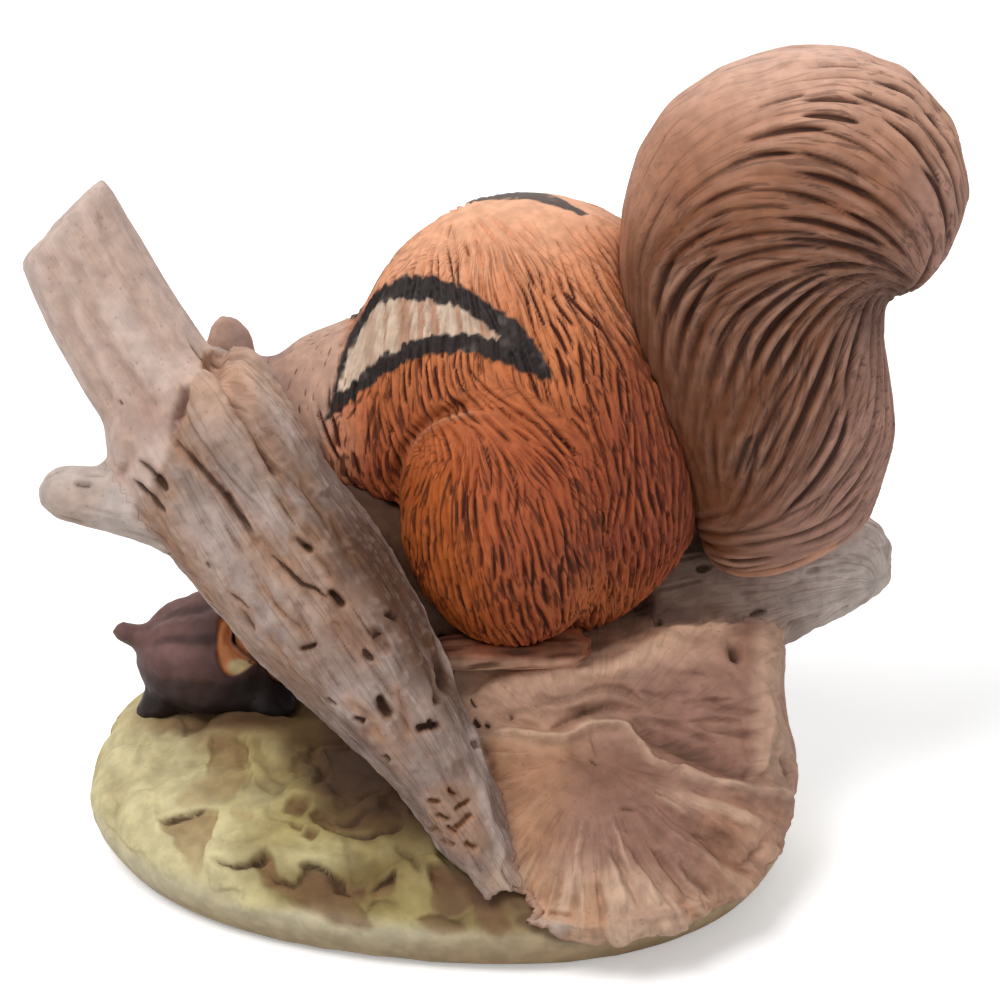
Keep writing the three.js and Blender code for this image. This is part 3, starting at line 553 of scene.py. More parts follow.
paint = painted(points, RIM, [
    # painted shade: the rim grows darker towards its bottom
    (RIM_SHADE, (1 - ramp(points[:, 2] + 1.2 * warp[:, 1], 1, 7)) * 0.9),
    (MOSS_GREEN, ramp(cloud(points, 11, 15), 0.2, 0.7) * 0.2),
    (MOSS_PALE, crown * 0.8),
    (MOSS_GREEN, crown * (0.75 * green * (1 - drawn_side) + drawn_side * (0.1 + 0.8 * inward))),
    (MOSS_OLIVE, crown * ramp(-swells, -0.2, 0.7) * (0.2 + 0.5 * inward * drawn_side)),
    (MOSS_PALE, crown * drawn_side * ramp(swells, 0.2, 0.9) * 0.5),
    (MOSS_OLIVE, inner * drawn_side * crown * (0.55 + 0.4 * ramp(-swells, -0.5, 0.5))),
    (EARTH_TONE_AND_SHADE, far_side * (1 - torn) * 0.85),
    # bare earth, painted darker along each patch's upper edge as shade under the moss
    (EARTH_TONE_AND_SHADE, bare_earth_and_shade * 0.95),
    (DARK_EARTH_AND_SHADE, bare_earth_and_shade * ramp(seen_x, 240, 320) * 0.75),
    (MOSS_OLIVE, 0.8 * shade * crown * drawn_side),
    (DARK_EARTH_AND_SHADE, 0.9 * ramp(seen_x, 270, 340) * shade * crown * drawn_side),
    (EARTH_TONE_AND_SHADE, 0.8 * husk_shade * facing),
    (DARK_EARTH_AND_SHADE, 0.7 * husk_shade * ramp(seen_x, 150, 220) * facing),
    # painted shadow on the base under the husk
    (EARTH_TONE_AND_SHADE, 0.6 * blot(spots, [280, 735], [40, 20]) * drawn_side),
    (EARTH_TONE_AND_SHADE, 0.55 * blot(spots, [205, 742], [24, 11]) * drawn_side),
    (DARK_EARTH_AND_SHADE, 0.6 * blot(spots, [256, 726], [38, 11]) * facing),
    (EARTH_TONE_AND_SHADE, 0.5 * ramp(seen_x, 420, 560) * facing),
    (DARK_EARTH_AND_SHADE, 0.45 * ramp(seen_x, 400, 450) * ramp(seen_y, 850, 900) * crown * drawn_side),
    # painted shadow on the base under the trunk
    (DARK_EARTH_AND_SHADE, blot(spots, [292, 758], [30, 22]) * drawn_side * 0.35),
    (MOSS_OLIVE, blot(spots, [408, 852], [26, 22]) * crown * drawn_side * (1 - bare_earth_and_shade) * 0.6),
    (MOSS_PALE, blot(spots, [308, 856], [42, 16]) * drawn_side * (1 - bare_earth_and_shade) * 0.6),
    (MOSS_PALE, blot(spots, [256, 800], [26, 22]) * drawn_side * (1 - bare_earth_and_shade) * 0.45),
    (EARTH_TONE_AND_SHADE, blot(spots, [455, 950], [60, 14]) * facing * 0.35),
    # painted shadow under the moss ledges, and darker where the wood stands
    (DARK_EARTH_AND_SHADE, ledge_shadow * 0.6 + under_wood * 0.6),
])
# the material's dark wash also carries the painted shadows under the ledges
keep_paint(base, paint, cut=0.75 * ledge_shadow)
moss = bisque("moss bisque", mottle=2.2, wash=colour(78, 58, 42), speck=0.1, tooth=0.08, roughness=0.72)
hand_in(base, moss, "moss_bisque", "mossy_base")

# Driftwood
# A leaning trunk with torn bark and a side twig, a root stump that flares to the front, the low limb
# that the animal sits on and a broken branch under its tail. All are cast apart, luted with slip and
# sponged until no seam shows, then washed with brown that stays in the cracks and worm holes.

WOOD_GRAIN = 1.16
WOOD_NODES = ["driftwood_trunk", "side_twig", "root_stump", "saddle_limb", "branch_stub"]
MOST_HOSTS = 70000  # places tried for a stroke


def points_tree(points):
    """A search tree over points"""
    tree = KDTree(len(points))
    for number, point in enumerate(points):
        tree.insert(point, number)
    tree.balance()
    return tree


def carve(points, normals, ways, share, length, half, spacing, seed):
    """Tapered strokes cut along the ways: how deep each point lies in one, and how high on its lip,
    both from 0 to 1. share is the part of the surface that takes strokes. spacing is their distance
    along and across the ways."""
    random = np.random.RandomState(seed)
    count = len(points)
    hosts = random.permutation(count)
    hosts = hosts[share[hosts] > random.rand(count)][:MOST_HOSTS]
    hosts_tree, tree = points_tree(points[hosts]), points_tree(points)
    free = np.ones(len(hosts), bool)
    groove = np.zeros(count)
    lip = np.zeros(count)
    places = points[hosts]
    for number, host in enumerate(hosts):
        if not free[number]:
            continue
        at, way, normal = points[host], ways[host], normals[host]
        around = np.array([hit[1] for hit in hosts_tree.find_range(at, max(spacing))])
        apart = places[around] - at
        along = apart @ way
        across = np.sqrt(np.maximum((apart**2).sum(axis=1) - along**2, 0))
        free[around[(along / spacing[0]) ** 2 + (across / spacing[1]) ** 2 < 1]] = False
        long = length * random.uniform(0.45, 1.3)
        wide = half * random.uniform(0.75, 1.25)
        deep = random.uniform(0.4, 1)
        skew = random.uniform(-0.35, 0.35)
        hits = np.array([hit[1] for hit in tree.find_range(at, long / 2 + wide)])
        hits = hits[normals[hits] @ normal > 0.2]
        apart = points[hits] - at
        side = np.cross(normal, way)
        along = apart @ way
        across = apart @ side
        turn = ((ways[hits] @ side) * along).sum() / ((along**2).sum() + 1e-9)
        across = np.abs(across - 0.5 * turn * along**2)
        reach = 2 * along / long
        taper = np.maximum(1 - reach**2, 0) ** 0.85 * (1 - skew * reach) + 1e-6
        tent = np.clip(1 - across / (wide * (0.25 + 0.75 * taper)), 0, 1) * deep * np.minimum(taper * 1.5, 1)
        groove[hits] = np.maximum(groove[hits], tent)
        lip[hits] = np.maximum(lip[hits], taper * deep * bell(across - 1.3 * wide, 0.5 * wide))
    return np.clip(groove, 0, 1), np.clip(lip, 0, 1)


def tangent(ways, normals):
    """Ways laid flat on the surface, with unit length"""
    flat = ways - (ways * normals).sum(axis=1)[:, None] * normals
    return flat / (np.linalg.norm(flat, axis=1)[:, None] + 1e-9)


def owners(piece, count):
    """For each solid, which points of a welded piece lie on its faces"""
    mesh = piece.data
    corner = read(mesh.loops, "vertex_index", kind=np.int32)
    number = read(mesh.polygons, "material_index", kind=np.int32)
    faces = np.repeat(number, read(mesh.polygons, "loop_total", kind=np.int32))
    shares = np.zeros((len(mesh.vertices), count))
    np.add.at(shares, (corner, faces), 1)
    return shares / shares.sum(axis=1)[:, None]


def soften(piece, shares, rounds):
    """Shares averaged with those of the neighbouring points, so that nothing steps along a seam"""
    one, other = read(piece.data.edges, "vertices", 2, np.int32).T
    count = len(shares)
    near = np.bincount(one, minlength=count) + np.bincount(other, minlength=count)
    for _ in range(rounds):
        around = np.zeros_like(shares)
        for column in range(shares.shape[1]):
            around[:, column] += np.bincount(one, shares[other, column], count)
            around[:, column] += np.bincount(other, shares[one, column], count)
        shares = 0.4 * shares + 0.6 * around / near[:, None]
    return shares


def combed(points, middle, pole, reach, hair_width, hair_length):
    """Coordinates round and along a body's pole, in widths and lengths of a hair or a fibre"""
    pole = np.array(pole, float) / np.linalg.norm(pole)
    across = np.cross(pole, [0.3, 1, 0.2])
    across /= np.linalg.norm(across)
    aside = np.cross(pole, across)
    from_middle = points - middle
    angle = np.arctan2(from_middle @ aside, from_middle @ across)
    count = reach / hair_width
    return np.stack([np.cos(angle) * count, np.sin(angle) * count, from_middle @ pole / hair_length], axis=1)


def part_of(piece, number, name):
    """One solid's faces of a welded piece, closed inside along the joints"""
    own = bpy.data.objects.new(name, piece.data.copy())
    bpy.context.collection.objects.link(own)
    cut = bmesh.new()
    cut.from_mesh(own.data)
    bmesh.ops.delete(cut, geom=[f for f in cut.faces if f.material_index != number], context="FACES")
    following = {}
    for edge in cut.edges:
        if len(edge.link_faces) == 1:
            loop = edge.link_loops[0]
            following.setdefault(loop.vert, []).append(loop.link_loop_next.vert)
    while following:
        start = next(iter(following))
        rim = [start]
        while rim[-1] in following:
            ahead = following[rim[-1]].pop()
            if not following[rim[-1]]:
                del following[rim[-1]]
            rim.append(ahead)
        middle = cut.verts.new(sum((v.co for v in rim[1:]), rim[0].co * 0) / (len(rim) - 1))
        for one, other in zip(rim[:-1], rim[1:]):
            cap = cut.faces.new((other, one, middle))
            cap.smooth = False
    cut.to_mesh(own.data)
    cut.free()
    return own


wood_piece = blank("driftwood", WOOD_NODES, WOOD_GRAIN, 4)
points, normals = surface(wood_piece)
spots = seen(points)
seen_x, seen_y = spots.T
shares = soften(wood_piece, owners(wood_piece, len(WOOD_NODES)), 14)
on_trunk, on_twig, on_stump, on_saddle, on_stub = shares.T
facing = ramp(-(normals @ VIEW_AIM), 0.05, 0.3)
warp = wander(points, 6, 1, 2, 3)

# Lengthwise way and round-the-limb place of the trunk, the twig and the stub
TRUNK_FOOT = np.array([1.8, -37, 9])
TRUNK_TOP = np.array([-57.2, -6.1, 93.9])
trunk_way = (TRUNK_TOP - TRUNK_FOOT) / np.linalg.norm(TRUNK_TOP - TRUNK_FOOT)
trunk_along = (points - TRUNK_FOOT) @ trunk_way
from_trunk = points - TRUNK_FOOT - trunk_along[:, None] * trunk_way
trunk_side = np.cross(trunk_way, [0, 1, 0])
trunk_side /= np.linalg.norm(trunk_side)
trunk_round = np.arctan2(from_trunk @ np.cross(trunk_side, trunk_way), from_trunk @ trunk_side)
STUB_WAY = np.array([0.97, 0.17, 0.17])
TWIG_WAY = np.array([-0.97, -0.02, 0.2])

ways = on_trunk[:, None] * trunk_way + on_twig[:, None] * TWIG_WAY + on_stub[:, None] * STUB_WAY
ways += on_saddle[:, None] * np.array([0.8, 0.1, -0.5])
stump_heart = np.array([13.5, -24, 22])
ways += on_stump[:, None] * (points - stump_heart) / 20
ways = tangent(ways, normals)

# The bark starts below the torn, peeled top of the trunk, along a slanting ragged edge
BARK_END = 73
PEEL_SLANT = 0.16
peeled = trunk_along - BARK_END - PEEL_SLANT * (seen_x - 150) + 2 * cloud(points, 4, 4)
barked = 1 - ramp(peeled, -1.5, 1.5)
radius = np.linalg.norm(from_trunk, axis=1)
unrolled = np.stack([trunk_round * 9, trunk_along * 0.12, 0.2 * radius], axis=1)
ribs = cloud(unrolled + 0.4 * warp, 3.0, 5) + 0.4 * cloud(unrolled, 1.3, 6)
knobs = cloud(points, 6.5, 7) + 0.5 * cloud(points, 2.6, 8)
grooved = cloud(unrolled, 3.4, 9)
height = on_trunk * (barked * (0.45 * ribs + 0.34 * knobs) + (1 - barked) * 0.4 * grooved)

# Cracks, slits and ledges on the trunk's near side: knots of each line in the photograph's frame,
# half width in its points, depth in millimetres and strength of the wash
TRUNK_LINES = [
    ([(64, 255), (85, 287), (93, 323), (117, 364), (137, 387), (155, 408)], 7, 0.8, 0.15),
    ([(52, 258), (58, 287), (70, 323), (87, 358), (105, 393), (111, 405)], 6, 0.7, 0.1),
    ([(100, 215), (118, 255), (142, 300), (170, 345)], 8, 0.6, 0.05),
    ([(88, 240), (98, 262), (106, 282)], 9, 0.35, 0.05),
    ([(207, 356), (214, 362), (222, 368), (224, 376)], 8, 1.7, 0.3),
    ([(182, 388), (186, 398), (184, 408), (174, 420)], 6, 1.5, 0.25),
    ([(208, 358), (220, 380), (236, 412), (254, 440), (270, 462), (280, 474)], 6, 2.2, 0.45),
    ([(252, 440), (266, 456), (276, 469)], 4.5, 1.2, 0.85),
    ([(188, 388), (182, 404), (176, 424), (172, 440)], 4.5, 1.0, 0.4),
    ([(172, 438), (192, 458), (211, 479), (234, 506), (258, 545)], 3.6, 1.1, 0.75),
    ([(226, 494), (240, 514), (254, 534)], 2.4, 0.6, 0.7),
    ([(198, 470), (222, 500), (244, 530)], 7, -0.5, 0),
    ([(256, 540), (270, 556), (286, 570)], 8, 0.6, 0.15),
    ([(270, 556), (286, 570), (300, 583), (314, 590), (328, 600)], 2.4, 0.8, 0.95),
    ([(150, 520), (190, 575), (236, 640), (280, 690)], 9, 0.45, 0.1),
    ([(236, 560), (268, 606), (300, 640), (330, 690)], 8, -0.4, 0),
    ([(262, 586), (286, 616), (308, 632)], 2.2, 0.4, 0.5),
    ([(340, 608), (352, 630), (366, 650)], 7, 0.7, 0.25),
    ([(300, 480), (316, 506), (330, 532)], 2.4, 0.6, 0.5),
    ([(226, 590), (240, 602), (250, 612)], 2, 0.4, 0.6),
    ([(137, 460), (148, 468), (158, 478)], 3, 0.8, 0.7),
    ([(156, 474), (162, 482), (167, 492)], 5, 1.3, 0.95),
    ([(134, 480), (150, 497), (164, 515)], 3.6, 1.0, 0.85),
    ([(262, 399), (278, 421), (294, 444)], 3, 0.5, 0.4),
    ([(296, 538), (306, 546), (314, 552)], 4, 0.8, 0.75),
    ([(314, 552), (325, 565), (334, 582)], 3, 0.6, 0.5),
    ([(280, 500), (300, 524), (322, 545)], 3, 0.5, 0.25),
    ([(330, 520), (345, 545), (352, 560)], 3, 0.4, 0.25),
    ([(334, 620), (350, 640), (362, 652)], 5, 0.6, 0.2),
    ([(362, 650), (368, 656), (374, 662)], 3.8, 1.1, 0.95),
    ([(203, 610), (214, 614), (228, 620)], 2.8, 0.5, 0.5),
    ([(240, 610), (250, 624), (256, 632)], 2.6, 0.5, 0.6),
    ([(270, 640), (280, 654), (288, 664)], 2.6, 0.4, 0.3),
    ([(398, 690), (404, 716), (410, 736)], 3, 0.5, 0.4),
    ([(350, 700), (372, 720), (380, 736)], 3, 0.4, 0.3),
    ([(442, 636), (446, 668), (438, 704)], 7, 1.8, 0.8),
    ([(116, 478), (128, 462), (126, 440)], 5, 0.7, 0.15),
    ([(197, 384), (206, 392), (222, 416), (248, 448), (262, 474)], 8, -0.9, 0),
    ([(189, 400), (200, 420), (226, 456), (256, 500), (290, 548)], 10, -0.35, 0),
    ([(232, 360), (246, 372), (262, 398), (284, 430), (310, 466)], 8, -0.8, 0),
    ([(472, 727), (478, 764), (484, 794), (490, 819), (503, 842), (501, 868)], 6, -0.8, 0),
]
# Worm holes: the ends of each short hollow, half width, depth and wash
TRUNK_HOLES = [
    ([(332, 594), (340, 603)], 6.5, 1.8, 0.9),
    ([(376, 634), (383, 648)], 10, 1.6, 0.45),
    ([(374, 638), (380, 634)], 3.5, 0.6, 0.9),
    ([(389, 614), (396, 618)], 5, 1.2, 0.7),
    ([(381, 702), (389, 715)], 8, 1.8, 0.85),
    ([(420, 731), (436, 726)], 6.5, 1.8, 0.85),
    ([(430, 722), (432, 730)], 4, 1.2, 0.9),
    ([(356, 718), (362, 721)], 4.2, 1.0, 0.8),
    ([(330, 700), (335, 703)], 4, 1.0, 0.8),
    ([(304, 648), (314, 646)], 4.4, 1.0, 0.75),
    ([(306, 546), (311, 549)], 4, 0.9, 0.8),
    ([(208, 563), (210, 566)], 2.8, 0.4, 0.6),
    ([(120, 402), (122, 404)], 2.8, 0.4, 0.6),
    ([(385, 756), (388, 760)], 3.6, 0.7, 0.7),
    ([(430, 800), (438, 803)], 3.6, 1.1, 0.5),
    ([(449, 791), (455, 796)], 3.8, 1.1, 0.5),
    ([(456, 808), (468, 802)], 3.8, 1.1, 0.45),
    ([(439, 816), (448, 819)], 3.8, 1.1, 0.45),
    ([(458, 826), (470, 816)], 5, 1.2, 0.4),
    ([(433, 829), (440, 833)], 3.6, 1.0, 0.45),
    ([(449, 828), (456, 832)], 3.6, 1.0, 0.45),
    ([(467, 843), (475, 847)], 4, 1.1, 0.5),
    ([(444, 841), (452, 845)], 3.8, 1.1, 0.45),
    ([(474, 720), (477, 724)], 3.8, 1.1, 1),
    ([(485, 724), (487, 726)], 3.2, 0.9, 1),
    ([(470, 700), (476, 706)], 2.6, 0.4, 0.8),
    ([(472, 742), (474, 748)], 3.6, 0.7, 0.6),
]
# Two slabs of bark with worn upper ends, and a channel between them: outline, height and wash
TRUNK_SLABS = [
    (
        [(189, 398), (194, 385), (207, 382), (218, 396), (236, 424), (258, 456), (284, 494), (312, 536),
         (326, 560), (312, 562), (284, 532), (254, 500), (226, 470), (203, 440), (190, 414)],
        2,
        0,
    ),
    (
        [(222, 368), (227, 354), (240, 353), (252, 368), (272, 400), (296, 440), (322, 484), (318, 496),
         (300, 480), (280, 456), (260, 428), (243, 402), (231, 384)],
        2,
        0,
    ),
]
on_limb = np.clip(on_trunk + on_twig + 0.6 * on_saddle + on_stump, 0, 1)
near_trunk = on_trunk * facing
bark_here = on_trunk * barked
bent = spots + 1.6 * wander(points, 3, 25, 26)
bent += 0.9 * wander(points, 0.9, 48, 49)
raised, _ = hollows(bent, TRUNK_SLABS, near_trunk, 2, tilt=0)
height += raised * (1 - ramp(seen_y, 410, 550))
depths, cut = marks(bent, TRUNK_LINES, on_limb, facing)
height -= depths
FOOT_WEB = [(424, 792), (448, 784), (476, 790), (488, 826), (480, 858), (452, 850), (430, 824)]
fibres = combed(points, TRUNK_FOOT, trunk_way, 13, 1.1, 7)
fibres[:, :2] += 0.8 * warp[:, :2]
strands = cloud(fibres, 1, 51) + 0.5 * cloud(fibres * [2, 2, 1.5], 1, 52)
grit = cloud(points, 0.8, 70) + 0.5 * cloud(points, 1.7, 72)
height += on_trunk * (0.1 + 0.1 * barked) * strands + (on_trunk + on_stub) * barked * 0.08 * grit
stain = np.zeros(len(points))
for knots, half, depth, wash in TRUNK_LINES:
    if depth > 0.3:
        stain = np.maximum(stain, band(spots, knots, 2.4 * half) * on_limb * facing)
pitted = spots + 1.5 * wander(points, 1.1, 48, 49)
worm_depth, worm_wash = holes(pitted, TRUNK_HOLES, on_limb * facing)
height -= worm_depth
cut = np.maximum(cut, worm_wash)
stain = np.maximum(stain, ramp(worm_depth, 0, 0.5))

# Fine cracks and a few worm holes scattered over all the bark
scatter = np.clip(on_trunk * barked + 0.9 * on_stub + 0.3 * on_twig, 0, 1) * ramp(knobs, -0.6, 0.3)
fan_rays = 0.35 * on_stump * facing * ramp(seen_y, 740, 800)
cracks, crack_lips = carve(points, normals, ways, 0.8 * scatter + fan_rays, 6.5, 0.5, (5.5, 3.2), 11)
hidden = 1 - 0.85 * facing * on_trunk
pits, _ = carve(points, normals, ways, 0.7 * scatter, 2.6, 0.8, (9, 7), 12)
height -= 0.4 * cracks - 0.1 * crack_lips
height -= 0.9 * ramp(pits, 0.1, 0.5) * hidden
cut = np.maximum(cut, np.maximum(0.55 * cracks * (1 - 0.4 * on_stump), 0.8 * pits * hidden))

# Root fan: a dish above a waved ridge, folds that run out from its heart, and a torn rim
FAN_LINES = [
    ([(494, 731), (515, 734), (536, 738), (563, 738), (589, 726), (621, 727), (639, 742), (655, 761)],
     6, -1.5, 0),
    ([(655, 761), (672, 771), (690, 777), (724, 784), (760, 790), (793, 793)], 5.5, -1.4, 0),
    ([(634, 722), (655, 735), (680, 745), (702, 752), (724, 762), (770, 782)], 11, 1.9, 0.5),
    ([(652, 752), (672, 762), (692, 770), (716, 776)], 5, 0.8, 0.15),
    ([(478, 694), (500, 682), (552, 674), (600, 671), (640, 654), (688, 624), (712, 622)], 10, -1.2, 0),
    ([(536, 694), (552, 700), (574, 698)], 4, 0.8, 0.35),
    ([(576, 698), (600, 689), (622, 691), (644, 704)], 4, 0.8, 0.35),
    ([(552, 728), (574, 718), (592, 710), (612, 707), (640, 710)], 4.5, 1.2, 0.5),
    ([(496, 714), (516, 720), (540, 730)], 4.5, 0.8, 0.25),
    ([(520, 706), (560, 710), (590, 702)], 4.5, -0.6, 0),
    ([(640, 692), (680, 704), (730, 700)], 4, 0.5, 0.15),
    ([(640, 716), (676, 728), (712, 742)], 4.5, 0.6, 0.2),
    ([(510, 712), (512, 718)], 3, 0.5, 0.6),
    ([(710, 706), (730, 710), (762, 713)], 4, 0.9, 0.4),
    ([(692, 722), (720, 720), (742, 722)], 4, 0.7, 0.3),
    ([(704, 728), (730, 731), (762, 735)], 4, 0.9, 0.45),
    ([(676, 679), (690, 680), (706, 678)], 4, 0.4, 0.2),
    ([(690, 660), (720, 668), (740, 690)], 6, 0.4, 0.1),
    ([(732, 640), (736, 650), (738, 662)], 6.5, 1.9, 0.7),
    ([(762, 682), (768, 700), (770, 722), (766, 750), (763, 772)], 4, -1.1, 0),
    ([(784, 752), (788, 766), (790, 778)], 5, 0.8, 0.45),
    ([(745, 735), (752, 760), (756, 780)], 6, 0.6, 0.15),
    ([(575, 749), (590, 765), (610, 780), (640, 800)], 11, 0.5, 0.05),
    ([(620, 808), (628, 807), (638, 809)], 2.8, 0.4, 0.5),
    ([(640, 790), (655, 800), (660, 806)], 3, 0.4, 0.25),
    ([(640, 808), (668, 834), (700, 864)], 5.5, -1.2, 0),
    ([(660, 806), (700, 836), (728, 858), (752, 876)], 5.5, 1.4, 0.4),
    ([(686, 846), (708, 866), (734, 890)], 5, -1.2, 0),
    ([(696, 832), (722, 850), (748, 876)], 4, 0.8, 0.35),
    ([(712, 820), (736, 842), (756, 864)], 5, -1.2, 0),
    ([(746, 866), (762, 848), (770, 832)], 5, 0.9, 0.4),
    ([(680, 862), (700, 882), (716, 898)], 4.5, 1.2, 0.45),
    ([(612, 850), (630, 884), (640, 910)], 4.5, 1.0, 0.25),
    ([(634, 852), (656, 884), (672, 904)], 4.5, 1.0, 0.25),
    ([(656, 850), (682, 882), (700, 900)], 4.5, 1.0, 0.3),
    ([(600, 846), (618, 880), (624, 912)], 4.5, -0.8, 0),
    ([(626, 846), (646, 880), (658, 906)], 4.5, -0.8, 0),
    ([(648, 846), (670, 880), (686, 900)], 4.5, -0.8, 0),
    ([(598, 880), (603, 896), (604, 912)], 4, 0.5, 0.15),
    ([(576, 874), (576, 892), (575, 910)], 3.6, 0.7, 0.35),
    ([(562, 868), (558, 886), (553, 906)], 3.6, 0.7, 0.35),
    ([(546, 880), (542, 894), (538, 904)], 3.6, 0.6, 0.3),
    ([(530, 838), (524, 862), (520, 884)], 6, 0.5, 0.15),
    ([(478, 738), (488, 764), (492, 800), (506, 836)], 5, 0.6, 0.3),
    ([(560, 925), (600, 926), (660, 916), (715, 900)], 4, -0.5, 0),
]
FAN_HOLES = [
    ([(504, 838), (505, 842)], 3.8, 0.9, 0.8),
    ([(505, 868), (510, 880)], 5.5, 1.2, 0.45),
    ([(513, 886), (519, 896)], 5, 1.1, 0.4),
    ([(552, 914), (566, 916)], 6, 1.1, 0.35),
    ([(535, 911), (539, 913)], 4, 0.8, 0.3),
    ([(476, 752), (478, 760)], 4, 0.8, 0.5),
    ([(594, 759), (596, 761)], 3.4, 0.8, 0.6),
    ([(562, 759), (564, 760)], 2.6, 0.4, 0.4),
    ([(655, 792), (660, 796)], 2.8, 0.4, 0.5),
    ([(534, 706), (536, 707)], 2.6, 0.4, 0.5),
]
fan = on_stump * facing
FAN_HEART = np.array([590, 752])
fan_apart = bent - FAN_HEART
fan_radius = np.linalg.norm(fan_apart, axis=1)
fan_angle = np.arctan2(fan_apart[:, 1], fan_apart[:, 0])
unfolded = np.stack([fan_angle * 7, fan_radius * 0.012, 0 * fan_angle], axis=1)
folds = cloud(unfolded, 1, 13) + 0.6 * cloud(unfolded * [2.3, 1.2, 1], 1, 14)
folds += 0.2 * cloud(unfolded * [5.5, 2, 1], 1, 30)
ridge_line = np.interp(seen_x, [480, 540, 590, 621, 655, 690, 793], [722, 738, 726, 727, 761, 777, 793])
below = ramp(seen_y - ridge_line, 4, 30)
fold_strength = fan * below * ramp(fan_radius, 50, 130)
height += fold_strength * 1.05 * folds
swept = cloud(np.stack([bent[:, 0] * 0.03, bent[:, 1] * 0.14, 0 * fan_angle], axis=1), 1, 15)
height += fan * (1 - below) * 0.45 * swept
depths, drawn_cut = marks(bent, FAN_LINES, on_stump, facing)
height -= depths
cut = np.maximum(cut, drawn_cut)
sunk, holed = holes(pitted, FAN_HOLES, on_stump * facing)
height -= sunk
cut = np.maximum(cut, holed)
stepped = np.stack([np.arctan2(points[:, 1] + 15, points[:, 0] - 15.5) * 9, 0.1 * points[:, 2]], axis=1)
far_folds = cloud(np.column_stack([stepped, 0 * radius]), 1, 16)
far_folds += 0.5 * cloud(np.column_stack([2.2 * stepped, 0 * radius]), 1, 27)
height += on_stump * (1 - facing) * 0.7 * far_folds
height += on_stump * 0.12 * cloud(points, 2.2, 17)
height += on_saddle * (0.3 * cloud(points, 6, 18) + 0.1 * cloud(points, 1.5, 19))
stub_ribs = cloud(points @ np.diag([0.22, 1, 1]), 2.1, 20) + 0.4 * cloud(points, 1.6, 28)
height += on_stub * 0.42 * stub_ribs
height += on_twig * (0.35 + 0.16 * cloud(points @ np.diag([0.3, 1, 1]), 1.8, 21))

WOOD_PINK = colour(208, 185, 174)
WOOD_ASH = colour(202, 188, 180)
WOOD_GREY = colour(153, 133, 122)
WOOD_PALE = colour(186, 167, 158)
WOOD_CREAM = colour(210, 176, 150)
WOOD_ORANGE = colour(182, 136, 104)
WOOD_TAN = colour(170, 126, 96)
WOOD_BROWN = colour(128, 92, 74)
WOOD_MAUVE = colour(154, 114, 98)
WOOD_SHADE = colour(104, 78, 66)
MOUND_BROWN = colour(84, 54, 35)
LIP_CREAM = colour(226, 184, 156)

clouds = cloud(points + 2 * warp, 8, 23)
channel = band(bent, [(210, 358), (222, 374), (236, 412), (254, 442), (272, 464)], 6)
mottles = ramp(cloud(points @ np.diag([1, 1, 0.6]) + warp, 1.6, 50) + 0.5 * clouds, 0.35, 0.9)
# painted shade along the borders of the slabs
slab_edge_shade = np.clip(raised * (2 - raised) * 0.9, 0, 1) * (1 - ramp(seen_y, 410, 530))
worn_ends = blot(spots, [224, 386], [34, 30])
web = 1 - ramp(patch_reach(bent, curve_through(FOOT_WEB + FOOT_WEB[:1])), -6, 8)
web = web * (on_trunk + on_stump) * facing
left_fan = fan * (1 - ramp(seen_x + 0.2 * (seen_y - 750), 545, 610)) * ramp(seen_y, 690, 750)
low_fan = ramp(seen_y + 0.25 * (600 - seen_x).clip(-400, 0), 838, 900)
heart = blot(spots, [607, 778], [60, 34])
LIP_LINE = [(476, 696), (500, 682), (552, 674), (600, 671), (640, 654), (690, 624), (716, 622)]
lip = band(spots, LIP_LINE, 14)
lobe = blot(spots, [680, 638], [38, 24])
notch = blot(spots, [745, 645], [14, 24])
column = ramp(seen_x, 746, 764) * (1 - ramp(seen_y, 760, 800))
ridge = band(bent, [knot for knots, *_ in FAN_LINES[:2] for knot in knots], 5)
TORN_RIM = [
    (472, 727), (478, 764), (484, 794), (490, 819), (503, 842), (501, 868), (510, 901), (531, 922),
    (565, 931),
]
torn_rim = band(bent, TORN_RIM, 7)
stub_end = ramp(seen_x + 12 * clouds, 760, 850)
lip_line = np.interp(seen_x, [440, 486, 552, 600, 644, 676, 700], [672, 668, 659, 654, 634, 616, 600])
mound = on_saddle + on_stump * ramp(lip_line - seen_y, -1, 5) * facing
mound = np.clip(mound, 0, 1) * (1 - ramp(seen_x, 690, 712))
edge_of_mound, _ = line_reach(spots, curve_through([(318, 470), (356, 536), (420, 625), (448, 690)]), 130)
edge_shade = (1 - ramp(edge_of_mound + 8 * warp[:, 0], 10, 54)) * (0.3 + 0.7 * ramp(seen_y, 470, 545))
trunk_foot = ramp(seen_y, 680, 860) * on_trunk * facing
brown_patch = blot(spots, [344, 632], [26, 44])
pale_patch = blot(spots, [428, 706], [26, 26])
under_edge, _ = line_reach(spots, np.array([(282, 692), (352, 752)]))
